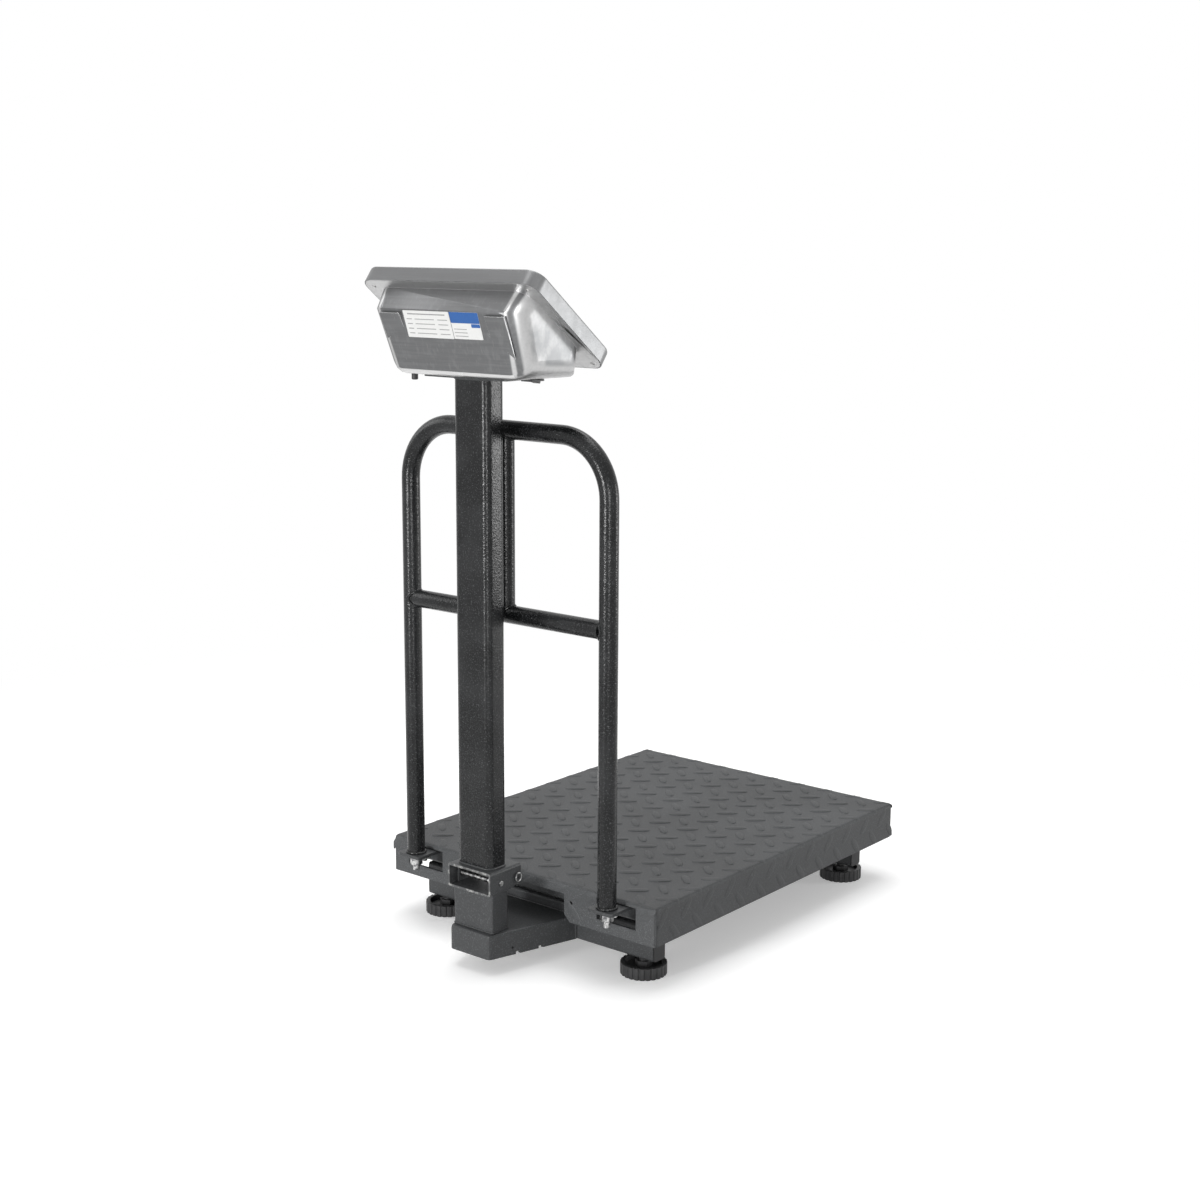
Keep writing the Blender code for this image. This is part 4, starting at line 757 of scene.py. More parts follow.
def mesh_piece(
    name: str, shape: bmesh.types.BMesh, material: bpy.types.Material, body: Body,
    place: Matrix = Matrix.Identity(4), smooth: float = 35.0,
) -> bpy.types.Object:
    """Make a piece from a bmesh, with its place in its mesh, and let it ride on a body.

    Args:
        name: The piece's name.
        shape: The shape, which is freed.
        material: Its finish.
        body: The body that carries it.
        place: Where the shape lies.
        smooth: Edges sharper than this many degrees stay crisp.

    Returns:
        The new object.
    """
    bmesh.ops.transform(shape, matrix=place, verts=shape.verts)
    piece = new_object(name, shape, material)
    fit_out(piece, body.value, smooth)
    return piece


def merge(
    target: bmesh.types.BMesh, part: bmesh.types.BMesh, place: Matrix = Matrix.Identity(4),
    keep: bool = False,
) -> None:
    """Copy a placed part into a larger bmesh.

    Args:
        target: The bmesh that grows.
        part: The part, which is freed.
        place: Where the copy lies.
        keep: Whether the part is wanted again, and so isn't freed.
    """
    mesh = bpy.data.meshes.new("part")
    part.to_mesh(mesh)
    mesh.transform(place)
    target.from_mesh(mesh)
    bpy.data.meshes.remove(mesh)
    if not keep:
        part.free()


def bevelled(
    shape: bmesh.types.BMesh, edges: list[bmesh.types.BMEdge], width: float, segments: int,
    clamp: bool = False,
) -> list[bmesh.types.BMFace]:
    """Round edges of a bmesh.

    Args:
        shape: The bmesh.
        edges: The edges to round.
        width: How far from each edge the rounding starts.
        segments: How many faces lie across the rounding.
        clamp: Whether the width shrinks where there is too little room.

    Returns:
        The faces of the rounding.
    """
    return bmesh.ops.bevel(
        shape, geom=edges, offset=width, segments=segments, profile=0.5, affect="EDGES",
        clamp_overlap=clamp, material=-1,
    )["faces"]


def block(width: float, height: float, thickness: float) -> bmesh.types.BMesh:
    """Shape a plain block about the origin.

    Args:
        width: Its size along X.
        height: Its size along Y.
        thickness: Its size along Z.

    Returns:
        The block as a bmesh.
    """
    shape = bmesh.new()
    bmesh.ops.create_cube(shape, size=1.0)
    bmesh.ops.scale(shape, vec=(width, height, thickness), verts=shape.verts)
    return shape


def slab(width: float, height: float, thickness: float, corner: float) -> bmesh.types.BMesh:
    """Shape a thin plate with round corners.

    Args:
        width: Its size along X.
        height: Its size along Y.
        thickness: Its size along Z, from 0 up.
        corner: The radius of its corners.

    Returns:
        The plate as a bmesh.
    """
    shape = block(width, height, thickness)
    bmesh.ops.translate(shape, vec=(0.0, 0.0, thickness / 2), verts=shape.verts)
    upright = [
        edge for edge in shape.edges
        if abs(edge.verts[0].co.z - edge.verts[1].co.z) > thickness / 2
    ]
    bevelled(shape, upright, corner, CORNER_STEPS)
    return shape


def turned(profile: Sequence[Flat], steps: int = 32) -> bmesh.types.BMesh:
    """Spin a profile of (radius, z) about Z.

    Args:
        profile: The points of the profile, from axis to axis or closed on itself.
        steps: How many steps the turn has.

    Returns:
        The turned shape with its faces pointing out.
    """
    shape = bmesh.new()
    points = [shape.verts.new((radius, 0.0, z)) for radius, z in profile]
    edges = [shape.edges.new(pair) for pair in zip(points, points[1:])]
    bmesh.ops.spin(
        shape, geom=points + edges, axis=(0, 0, 1), cent=(0, 0, 0), angle=math.tau,
        steps=steps, use_merge=True,
    )
    bmesh.ops.remove_doubles(shape, verts=shape.verts, dist=TINY)
    bmesh.ops.recalc_face_normals(shape, faces=shape.faces)
    return shape


def hexagon(flats: float, height: float, chamfer: float) -> bmesh.types.BMesh:
    """Shape a hexagonal nut from z = 0 up.

    Args:
        flats: The width over its flats.
        height: Its height.
        chamfer: The size of the rounding on its upper and lower edges.

    Returns:
        The nut as a bmesh.
    """
    shape = bmesh.new()
    radius = flats / math.sqrt(3)
    bmesh.ops.create_cone(
        shape, cap_ends=True, segments=6, radius1=radius, radius2=radius, depth=height
    )
    bmesh.ops.translate(shape, vec=(0, 0, height / 2), verts=shape.verts)
    level = [edge for edge in shape.edges if abs(edge.verts[0].co.z - edge.verts[1].co.z) < TINY]
    bevelled(shape, level, chamfer, 2)
    return shape


def swept(
    path: Iterable[Vector], radius: float, closed: bool, sides: int = 3
) -> bmesh.types.BMesh:
    """Sweep a round section along a path.

    Args:
        path: The points of the path.
        radius: The section's radius.
        closed: Whether the path joins its own start.
        sides: The curve's bevel resolution.

    Returns:
        The swept shape as a bmesh.
    """
    curve = bpy.data.curves.new("path", "CURVE")
    curve.dimensions = "3D"
    curve.bevel_depth = radius
    curve.bevel_resolution = sides
    curve.use_fill_caps = not closed
    points = list(path)
    spline = curve.splines.new("POLY")
    spline.points.add(len(points) - 1)
    spline.use_cyclic_u = closed
    for point, stop in zip(spline.points, points):
        point.co = (*stop, 1.0)
    carrier = bpy.data.objects.new("path", curve)
    bpy.context.scene.collection.objects.link(carrier)
    graph = bpy.context.evaluated_depsgraph_get()
    mesh = bpy.data.meshes.new_from_object(carrier.evaluated_get(graph))
    bpy.data.objects.remove(carrier)
    shape = bmesh.new()
    shape.from_mesh(mesh)
    bpy.data.meshes.remove(mesh)
    bmesh.ops.remove_doubles(shape, verts=shape.verts, dist=TINY)
    bmesh.ops.recalc_face_normals(shape, faces=shape.faces)
    return shape


def rounded_loop(width: float, height: float, corner: float) -> list[Flat]:
    """List the points of a rectangle with round corners about the origin.

    Args:
        width: Its size along the first axis.
        height: Its size along the second axis.
        corner: The radius of its corners.

    Returns:
        The points in order.
    """
    points = []
    for turn in range(4):
        middle_x = (width / 2 - corner) * (1 if turn in (0, 3) else -1)
        middle_y = (height / 2 - corner) * (1 if turn in (0, 1) else -1)
        for step in range(CORNER_STEPS + 1):
            angle = math.radians(90 * (turn + step / CORNER_STEPS))
            points.append(
                (middle_x + corner * math.cos(angle), middle_y + corner * math.sin(angle))
            )
    return points


def arch(
    half: float, y: float, foot: float, top: float, bend: float, steps: int
) -> list[Vector]:
    """Trace an arch with two round corners in an upright plane, from its left foot to its right.

    Args:
        half: Half its width.
        y: The plane's Y.
        foot: The Z of its feet.
        top: The Z of its top.
        bend: The radius of its corners.
        steps: How many steps each corner has.

    Returns:
        The points of the arch.
    """
    line = [Vector((-half, y, foot))]
    for side, start in ((-1, 180), (1, 90)):
        for step in range(steps + 1):
            angle = math.radians(start - 90 * step / steps)
            x = side * (half - bend) + bend * math.cos(angle)
            line.append(Vector((x, y, top - bend + bend * math.sin(angle))))
    line.append(Vector((half, y, foot)))
    return line


# Sub-assemblies


CORNERS = [f"{end}_{side}" for end in ("front", "rear") for side in ("left", "right")]


@dataclass
class SolidFinishes:
    """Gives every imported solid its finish, and the folded and moulded ones soft edges."""

    palette: Palette
    same_point: float = 2e-6
    flat_angle: float = 0.6
    edge_angle: float = 28.0
    smooth_angle: float = 50.0
    rim_depth: float = 1e-4
    worn_nodes: tuple = ("column_arm", "hinge_bracket")
    edge_radii: dict = field(
        default_factory=lambda: {
            node: radius
            for radius, nodes in (
                (0.0002, ["head_front_cover"]),
                (0.0003, ["column", "hinge_saddle", "lock_bolt", "fuse_cap"]),
                (0.0004, ["head_mount_plate", "platform_pan"]),
                (0.0004, ["power_switch_body", "power_rocker"]),
                (0.0004, ["base_rear_tube", "base_front_tube", "base_centre_beam"]),
                (0.0004, ["upper_rear_tube", "upper_front_tube", "upper_centre_beam"]),
                (0.0004, [f"foot_{corner}" for corner in CORNERS]),
                (0.0005, [f"tube_plug_{corner}" for corner in CORNERS]),
                (0.0005, [f"key_{number}" for number in range(1, 9)]),
                (0.0005, ["column_post"]),
                (0.0006, ["hinge_bracket", "rail_tab_left", "rail_tab_right"]),
                (0.0006, ["rail_nut_left", "rail_nut_right"]),
                (0.0010, ["column_arm"]),
            )
            for node in nodes
        }
    )

    def dress(self) -> None:
        """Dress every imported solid."""
        slots = {row["node"]: row["material_slot"] for row in frame["record"]["subparts"]}
        for node, solid in frame["nodes"].items():
            slot = Slot(slots[node])
            material = self.finish_of(node, slot)
            solid.data.materials.clear()
            solid.data.materials.append(material)
            if node in self.edge_radii:
                self.soften(node, material)
        log.info("%d packed solids dressed", len(slots))

    def finish_of(self, node: str, slot: Slot) -> bpy.types.Material:
        """Choose a solid's finish.

        The cover is brushed steel with painted reflections, the column and the rail have the darker
        paint, the tubes' plugs the blacker plastic, and the rest follow their slot.

        Args:
            node: The solid's name.
            slot: Its slot in the record.

        Returns:
            The finish.
        """
        if node == "head_front_cover":
            return self.palette.brushed_painted_reflection
        if node == "column" or node.startswith("guard_rail"):
            return self.palette.dark_hammer
        if node.startswith("tube_plug"):
            return self.palette.plug
        return self.palette.by_slot[slot]

    def soften(self, node: str, material: bpy.types.Material) -> None:
        """Stand a copy with soft edges in a solid's place.

        Args:
            node: The solid's name.
            material: Its finish.
        """
        solid = frame["nodes"][node]
        shape = bmesh.new()
        shape.from_mesh(solid.data)
        bmesh.ops.remove_doubles(shape, verts=shape.verts, dist=self.same_point)
        bmesh.ops.dissolve_limit(
            shape, angle_limit=math.radians(self.flat_angle), use_dissolve_boundaries=False,
            verts=shape.verts, edges=shape.edges, delimit={"NORMAL"},
        )
        limit = math.radians(self.edge_angle)
        crisp = [
            edge for edge in shape.edges
            if len(edge.link_faces) == 2 and edge.calc_face_angle() > limit
        ]
        rounded = bevelled(shape, crisp, self.edge_radii[node], 2, clamp=True)
        if node in self.worn_nodes:
            self.wear(node, shape, rounded)
        piece = new_object(node + "_dressed", shape, material)
        if node in self.worn_nodes:
            piece.data.materials.append(self.palette.worn)
        fit_out(piece, solid["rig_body"], self.smooth_angle)
        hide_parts(node)

    def wear(
        self, node: str, shape: bmesh.types.BMesh, rounded: list[bmesh.types.BMFace]
    ) -> None:
        """Give the second finish, worn paint, to the bracket's edges and rear rim and to the
        arm's upper edges.

        Args:
            node: The solid's name.
            shape: The softened copy.
            rounded: The faces of its rounded edges.
        """
        whole = node == "hinge_bracket"
        rim = max(vert.co.y for vert in shape.verts) - self.rim_depth
        for face in shape.faces:
            at_rim = face.calc_center_median().y > rim and face.normal.y > 0.9
            face.material_index = int(whole and at_rim)
        for face in rounded:
            face.material_index = int(whole or face.normal.z > 0.3)


@dataclass
class TreadLugs:
    """The raised lugs of the tread plate, which run on over the pan's folds.

    The window in the rear skirt is given by its nearer and farther X from the middle and by how
    far down its upper and lower edge lie.
    """

    palette: Palette
    pitch_x: float = 0.0427
    pitch_y: float = 0.0418
    first_x: float = -0.1900
    first_y: float = 0.0060
    turns: Flat = (40.0, -43.0)
    spread: float = 0.30
    length: float = 0.0275
    width: float = 0.0098
    height: float = 0.0015
    fade: float = 0.016
    fade_share: float = 0.68
    bend: float = 0.005
    clear: float = 0.0008
    corner_clear: float = 0.008
    apart: float = 0.00002
    lip_half: float = 0.071
    lip_depth: float = 0.012
    window: tuple = (0.118, 0.173, 0.0050, 0.0302)

    def __post_init__(self) -> None:
        """Take the pan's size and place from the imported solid."""
        low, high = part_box("platform_pan")
        self.half_x = high.x
        self.half_y = (high.y - low.y) / 2
        self.middle_y = (high.y + low.y) / 2
        self.top = high.z
        self.depth = high.z - low.z

    def build(self) -> None:
        """Lay out both families of lugs and cut them where the plate ends."""
        shape = bmesh.new()
        lug = self.lug()
        reach = int(self.spread / self.pitch_x) + 1
        for family, degrees in enumerate(self.turns):
            for i in range(-1, 2 * reach):
                for j in range(-reach, reach + 1):
                    u = self.first_x + (i - 1 + 0.5 * family) * self.pitch_x
                    v = self.first_y + (j + 0.5 * family) * self.pitch_y
                    self.add_lug(shape, lug, u, v, math.radians(degrees))
        lug.free()
        paint = self.palette.by_slot[Slot.PAN_PAINT]
        mesh_piece("tread_lugs", shape, paint, Body.BASE)

    def lug(self) -> bmesh.types.BMesh:
        """Shape one lug about the origin, half of it below the plate's face.

        Returns:
            The lug as a bmesh.
        """
        shape = bmesh.new()
        bmesh.ops.create_uvsphere(shape, u_segments=12, v_segments=8, radius=1.0)
        bmesh.ops.rotate(
            shape, matrix=Matrix.Rotation(math.pi / 2, 3, "Y"), cent=(0, 0, 0), verts=shape.verts
        )
        for vert in shape.verts:
            along, across, up = vert.co
            fuller = math.sqrt((1.0 - abs(along) ** 3) / max(1.0 - along * along, TINY))
            vert.co = (
                along * self.length / 2,
                across * fuller * self.width / 2,
                math.copysign(abs(up) ** 0.7, up) * self.height,
            )
        return shape

    def fold(self, u: float, v: float, rise: float) -> Vector:
        """Fold a point of the flat sheet over the pan's edges.

        Args:
            u: The point's X on the flat sheet.
            v: Its Y, from the pan's middle.
            rise: Its height over the sheet.

        Returns:
            The point on the pan.
        """
        out_x, down_x, lift_x = self.around(abs(u), self.half_x, rise)
        out_y, down_y, lift_y = self.around(abs(v), self.half_y, rise)
        drop = max(down_x, down_y)
        lift = lift_x if down_x >= down_y else lift_y
        x = math.copysign(out_x, u)
        y = self.middle_y + math.copysign(out_y, v)
        return Vector((x, y, self.top - drop + lift))

    def around(self, along: float, half: float, rise: float) -> Point:
        """Carry a distance along the sheet round one fold.

        Args:
            along: The distance from the pan's middle.
            half: Half the pan's size that way.
            rise: The height over the sheet.

        Returns:
            How far out, how far down, and how much of the rise points up.
        """
        start = half - self.bend
        if along <= start:
            return along, 0.0, rise
        turn = min((along - start) / self.bend, math.pi / 2)
        past = max(0.0, along - start - self.bend * math.pi / 2)
        out = start + (self.bend + rise) * math.sin(turn)
        down = self.bend * (1 - math.cos(turn)) + past
        return out, down, rise * math.cos(turn)

    def add_lug(
        self, target: bmesh.types.BMesh, lug: bmesh.types.BMesh, u: float, v: float, turn: float
    ) -> None:
        """Add one lug where the sheet has room for it.

        Args:
            target: The bmesh of all lugs.
            lug: The lug about the origin.
            u: Its middle's X on the flat sheet.
            v: Its middle's Y on the flat sheet.
            turn: Its turn on the sheet.
        """
        unrolled = self.bend * (math.pi / 2 - 1)
        over_x, over_y = abs(u) - self.half_x - unrolled, abs(v) - self.half_y - unrolled
        if max(over_x, over_y) > self.depth + self.length / 3:
            return
        if min(over_x, over_y) > -self.corner_clear:
            return
        part = lug.copy()
        bmesh.ops.rotate(
            part, matrix=Matrix.Rotation(turn, 3, "Z"), cent=(0, 0, 0), verts=part.verts
        )
        for vert in part.verts:
            x, y, rise = u + vert.co.x, v + vert.co.y, vert.co.z
            near = max(abs(x) - self.half_x, abs(y) - self.half_y) + self.bend
            low = 1.0 - self.fade_share * min(1.0, max(0.0, 1.0 + near / self.fade))
            vert.co = self.fold(x, y, rise * low)
        self.cut(part, (0, 0, self.top - self.depth + self.clear), (0, 0, -1))
        if v > 0 and over_y > -self.length / 2:
            for piece in self.rear_parts(part):
                merge(target, piece)
            part.free()
        else:
            merge(target, part)

    def cut(self, shape: bmesh.types.BMesh, point: Point, outward: Point) -> None:
        """Cut away what lies past a plane and close the cut.

        Args:
            shape: The bmesh that is cut.
            point: A point of the plane.
            outward: The side that goes.
        """
        bmesh.ops.bisect_plane(
            shape, geom=shape.verts[:] + shape.edges[:] + shape.faces[:], dist=1e-7,
            plane_co=point, plane_no=outward, clear_outer=True,
        )
        rim = [edge for edge in shape.edges if edge.is_boundary]
        if rim:
            bmesh.ops.holes_fill(shape, edges=rim, sides=0)

    def rooms(self) -> list[tuple]:
        """List the parts of the rear skirt beside, above and below its cut-outs.

        Returns:
            The left, right, upper and lower edge of each, the last two as depths.
        """
        near, far, high, low = self.window
        inner, outer = near - self.clear, far + self.clear
        lip = self.lip_half + self.clear
        right_half = (
            (lip, inner, 0.0, self.depth),
            (outer, self.half_x, 0.0, self.depth),
            (inner + self.apart, outer - self.apart, 0.0, high - self.clear),
            (inner + self.apart, outer - self.apart, low + self.clear, self.depth),
        )
        rooms = [
            (*sorted((side * left, side * right)), upper, lower)
            for side in (-1, 1)
            for left, right, upper, lower in right_half
        ]
        return [*rooms, (-lip, lip, 0.0, self.lip_depth - self.clear)]

    def rear_parts(self, lug: bmesh.types.BMesh) -> list[bmesh.types.BMesh]:
        """Split a lug of the rear skirt round its cut-outs.

        Args:
            lug: The folded lug.

        Returns:
            What is left of it in each part of the skirt.
        """
        kept = []
        for left, right, upper, lower in self.rooms():
            part = lug.copy()
            self.cut(part, (left, 0, 0), (-1, 0, 0))
            self.cut(part, (right, 0, 0), (1, 0, 0))
            self.cut(part, (0, 0, self.top - lower), (0, 0, -1))
            if upper > 0.0:
                self.cut(part, (0, 0, self.top - upper), (0, 0, 1))
            if part.faces:
                kept.append(part)
            else:
                part.free()
        return kept


@dataclass
class RailTubes:
    """Round tubes in place of the guard rail's faceted solids, with their welds."""

    palette: Palette
    radius: float = 0.0105
    upright_radius: float = 0.0100
    bend: float = 0.065
    bead: float = 0.0016
    crossbar_gap: float = 0.0003
    crossbar_share: float = 0.75
    upright_share: float = 0.8
    weld_share: float = 0.96
    weld_steps: int = 28

    def __post_init__(self) -> None:
        """Take the rail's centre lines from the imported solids."""
        low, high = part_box("guard_rail_hoop")
        self.half_span = high.x - self.radius
        self.y = (low.y + high.y) / 2
        self.bottom = low.z
        self.top = high.z - self.radius
        low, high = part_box("guard_rail_crossbar")
        self.cross_z = (low.z + high.z) / 2
        self.paint = self.palette.dark_hammer

    def build(self) -> None:
        """Build the tubes and the welds between them."""
        hoop = arch(self.half_span, self.y, self.bottom, self.top, self.bend, 18)
        self.tube("rail_hoop", hoop, self.radius, "guard_rail_hoop")
        reach = self.half_span - self.radius * math.sqrt(self.crossbar_share)
        crossbar = [self.at(side * reach, self.cross_z) for side in (-1, 1)]
        self.tube(
            "rail_crossbar", crossbar, self.radius - self.crossbar_gap, "guard_rail_crossbar"
        )
        sunk = self.radius * self.upright_share
        upright = [self.at(0, self.cross_z + sunk), self.at(0, self.top - sunk)]
        self.tube("rail_upright", upright, self.upright_radius, "guard_rail_upright")
        self.welds()

    def welds(self) -> None:
        """Build the beads round the tubes' ends and the hoop's feet."""
        beads = bmesh.new()
        right, up = Vector((1, 0, 0)), Vector((0, 0, 1))
        weld = self.radius * self.weld_share
        lines = [
            self.saddle(self.at(-self.half_span, self.cross_z), right, weld),
            self.saddle(self.at(self.half_span, self.cross_z), -right, weld),
            self.saddle(self.at(0, self.cross_z), up, self.upright_radius),
            self.saddle(self.at(0, self.top), -up, self.upright_radius),
        ]
        for side in (-1, 1):
            foot = self.at(side * self.half_span, self.bottom + self.bead * 0.5)
            lines.append(self.ring(foot, self.radius + self.bead * 0.2))
        for line in lines:
            merge(beads, swept(line, self.bead, True))
        mesh_piece("rail_welds", beads, self.paint, Body.BASE)

    def at(self, x: float, z: float) -> Vector:
        """Return a point in the rail's plane."""
        return Vector((x, self.y, z))

    def tube(self, name: str, path: list[Vector], radius: float, node: str) -> None:
        """Sweep one tube in a solid's place.

        Args:
            name: The tube's name.
            path: Its centre line.
            radius: Its radius.
            node: The solid that it stands for.
        """
        shape = swept(path, radius, False, 12)
        piece = mesh_piece(name, shape, self.paint, Body.BASE)
        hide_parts(node)

    def saddle(self, centre: Vector, axis: Vector, radius: float) -> list[Vector]:
        """Trace where a tube meets the side of a rail tube.

        Args:
            centre: Where the two centre lines meet.
            axis: The direction of the tube that ends here.
            radius: That tube's radius.

        Returns:
            The closed line of the joint.
        """
        depth = Vector((0, 1, 0))
        run = axis.cross(depth)
        line = []
        for step in range(self.weld_steps):
            angle = math.tau * step / self.weld_steps
            sideways = radius * math.sin(angle)
            rise = math.sqrt(self.radius**2 - sideways**2)
            line.append(centre + depth * sideways + run * radius * math.cos(angle) + axis * rise)
        return line

    def ring(self, centre: Vector, radius: float) -> list[Vector]:
        """Trace a level circle round a centre."""
        angles = (math.tau * step / self.weld_steps for step in range(self.weld_steps))
        return [centre + Vector((math.cos(a), math.sin(a), 0)) * radius for a in angles]


@dataclass
class FrameWelds:
    """Weld beads where the base's tubes, the post and the column meet their neighbours."""

    palette: Palette
    bead: float = 0.0011
    post_corner: float = 0.002
    column_corner: float = 0.008
    beam_corner: float = 0.003
    arm_corner: float = 0.004
    arm_inset: float = 0.0003
    arm_foot: float = 0.001

    def build(self) -> None:
        """Build the beads of the base and those that turn with the column."""
        paint = self.palette.by_slot[Slot.HAMMER_PAINT]
        base, column = bmesh.new(), bmesh.new()
        self.level_loop(base, "column_post", 0, self.post_corner)
        self.end_loop(base, "base_centre_beam")
        self.end_loop(base, "upper_centre_beam")
        self.arm_line(base)
        self.level_loop(column, "column", 0, self.column_corner)
        self.level_loop(column, "column", 1, self.column_corner)
        mesh_piece("base_welds", base, paint, Body.BASE)
        mesh_piece("column_welds", column, paint, Body.COLUMN)

    def add(self, target: bmesh.types.BMesh, line: Iterable[Vector], closed: bool) -> None:
        """Add one bead along a line."""
        merge(target, swept(line, self.bead, closed, 2))

    def level_loop(self, target: bmesh.types.BMesh, node: str, end: int, corner: float) -> None:
        """Run a bead round the lower or upper end of an upright tube.

        Args:
            target: The bmesh of the beads.
            node: The tube.
            end: 0 for its lower end and 1 for its upper end.
            corner: The radius of its corners.
        """
        low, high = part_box(node)
        middle = (low + high) / 2
        z = high.z - self.bead / 2 if end else low.z + self.bead / 2
        loop = rounded_loop(high.x - low.x, high.y - low.y, corner)
        self.add(target, (Vector((middle.x + x, middle.y + y, z)) for x, y in loop), True)

    def end_loop(self, target: bmesh.types.BMesh, node: str) -> None:
        """Run a bead round both ends of a tube that lies along Y.

        Args:
            target: The bmesh of the beads.
            node: The tube.
        """
        low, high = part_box(node)
        middle = (low + high) / 2
        loop = rounded_loop(high.x - low.x, high.z - low.z, self.beam_corner)
        for y in (low.y + self.bead / 2, high.y - self.bead / 2):
            self.add(target, (Vector((middle.x + x, y, middle.z + z)) for x, z in loop), True)

    def arm_line(self, target: bmesh.types.BMesh) -> None:
        """Run a bead up, over and down where the arm meets the rear tube.

        Args:
            target: The bmesh of the beads.
        """
        low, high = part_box("column_arm")
        line = arch(
            high.x - self.arm_inset, low.y + self.bead / 2, low.z + self.arm_foot, high.z,
            self.arm_corner, 4,
        )
        self.add(target, line, False)


@dataclass
class ClampNuts:
    """The second bright nut under each rail tab, inside the pan's window."""

    palette: Palette
    flats: float = 0.0115
    height: float = 0.0062
    chamfer: float = 0.0007
    turn: float = 0.35
    washer: Flat = (0.00713, 0.0011)
    stud: Flat = (0.003, 0.0105)
    stud_chamfer: Flat = (0.0006, 0.0007)
    under_tab: float = 0.0002
    behind_pan: float = 0.0020

    def build(self) -> None:
        """Build a nut with its stud's end and a washer under each tab."""
        zinc = self.palette.by_slot[Slot.ZINC]
        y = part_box("platform_pan")[1].y + self.behind_pan
        down = Matrix.Rotation(math.pi, 4, "X")
        wide, thick = self.washer
        radius, length = self.stud
        inset, drop = self.stud_chamfer
        stud = [(0, length), (radius - inset, length), (radius, length - drop), (radius, 0), (0, 0)]
        for side in ("left", "right"):
            low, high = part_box(f"rail_tab_{side}")
            seat = Matrix.Translation(((low.x + high.x) / 2, y, low.z - self.under_tab)) @ down
            on_washer = Matrix.Translation((0, 0, thick)) @ Matrix.Rotation(self.turn, 4, "Z")
            shape = bmesh.new()
            merge(shape, turned([(0, 0), (wide, 0), (wide, thick), (0, thick)]), seat)
            merge(shape, hexagon(self.flats, self.height, self.chamfer), seat @ on_washer)
            merge(shape, turned(stud, 20), seat)
            mesh_piece(f"tab_clamp_nut_{side}", shape, zinc, Body.BASE)


@dataclass
class Head:
    """The place of the head and of its rear face, from the heel and the crest of its section."""

    tilt: float = 37.3
    window_middle: Point = (0.0, 0.030, -0.0023)
    flange_rear: float = -0.017
    heel: Flat = (-0.00090, -0.08532)
    crest: Flat = (0.06044, -0.04410)

    def __post_init__(self) -> None:
        """Work out the head's own frame and that of its rear face."""
        turn = Matrix.Rotation(math.radians(self.tilt), 4, "X")
        low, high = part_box("display_lens")
        centre = (low + high) / 2 - turn @ Vector(self.window_middle)
        self.frame = Matrix.Translation(centre) @ turn
        heel = self.frame @ Vector((0, *self.heel))
        crest = self.frame @ Vector((0, *self.crest))
        up = (crest - heel).normalized()
        axes = Matrix((Vector((-1, 0, 0)), up, Vector((0, up.z, -up.y)))).transposed()
        self.rear = Matrix.Translation(heel) @ axes.to_4x4()

    def on_flange(self, x: float, y: float) -> Matrix:
        """Return the place of a part that points out of the flange's rear face."""
        return Matrix.Translation((x, y, self.flange_rear)) @ Matrix.Rotation(math.pi, 4, "X")


@dataclass
class FlangeFittings:
    """The screws in the corners of the rear shell's flange, its dark plug, and a black patch that
    paints the shade in a hole of the flange.
    """

    palette: Palette
    head: Head
    screw_x: float = 0.1095
    screw_rows: Flat = (-0.0650, 0.0625)
    screw_dome: tuple = (
        (0, 0.0019), (0.0012, 0.00186), (0.0024, 0.0014), (0.0031, 0.0007), (0.0032, 0), (0, 0)
    )
    recess: Point = (0.0036, 0.0007, 0.0005)
    recess_level: float = 0.0018
    recess_turn: float = 0.5
    plug_profile: tuple = ((0, 0.0008), (0.0020, 0.0008), (0.0024, 0.0), (0, 0))
    plug_place: Flat = (-0.0990, -0.0663)
    # A thin black patch painted where a hole in the flange shows shade.
    hole_shade_size: Point = (0.0045, 0.0070, 0.0010)
    hole_shade_corner: float = 0.0015
    hole_shade_place: Flat = (-0.1117, -0.0305)

    def build(self) -> None:
        """Build the screws, and the plug and the painted hole shade near the lower corner."""
        screws, dark = bmesh.new(), bmesh.new()
        screw = self.cross_screw()
        for side in (-1, 1):
            for level in self.screw_rows:
                place = self.head.on_flange(side * self.screw_x, level)
                merge(screws, screw, place, keep=True)
        screw.free()
        plug, hole_shade = turned(self.plug_profile, 20), slab(*self.hole_shade_size, self.hole_shade_corner)
        merge(dark, plug, self.head.on_flange(*self.plug_place))
        # Painted shade: a black patch where a hole shows dark.
        merge(dark, hole_shade, self.head.on_flange(*self.hole_shade_place))
        for name, shape, slot in (
            ("flange_screws", screws, Slot.ZINC), ("flange_plug_and_hole_shade", dark, Slot.BLACK_PLASTIC)
        ):
            finish = self.palette.by_slot[slot]
            mesh_piece(name, shape, finish, Body.COLUMN, self.head.frame)

    def cross_screw(self) -> bmesh.types.BMesh:
        """Shape a pan-head screw with a cross on its head, from z = 0 up.

        Returns:
            The screw as a bmesh.
        """
        shape = turned(self.screw_dome, 28)
        level = Matrix.Translation((0, 0, self.recess_level))
        for turn in (0, 1):
            across = Matrix.Rotation(math.pi / 2 * turn + self.recess_turn, 4, "Z")
            merge(shape, block(*self.recess), across @ level)
        return shape


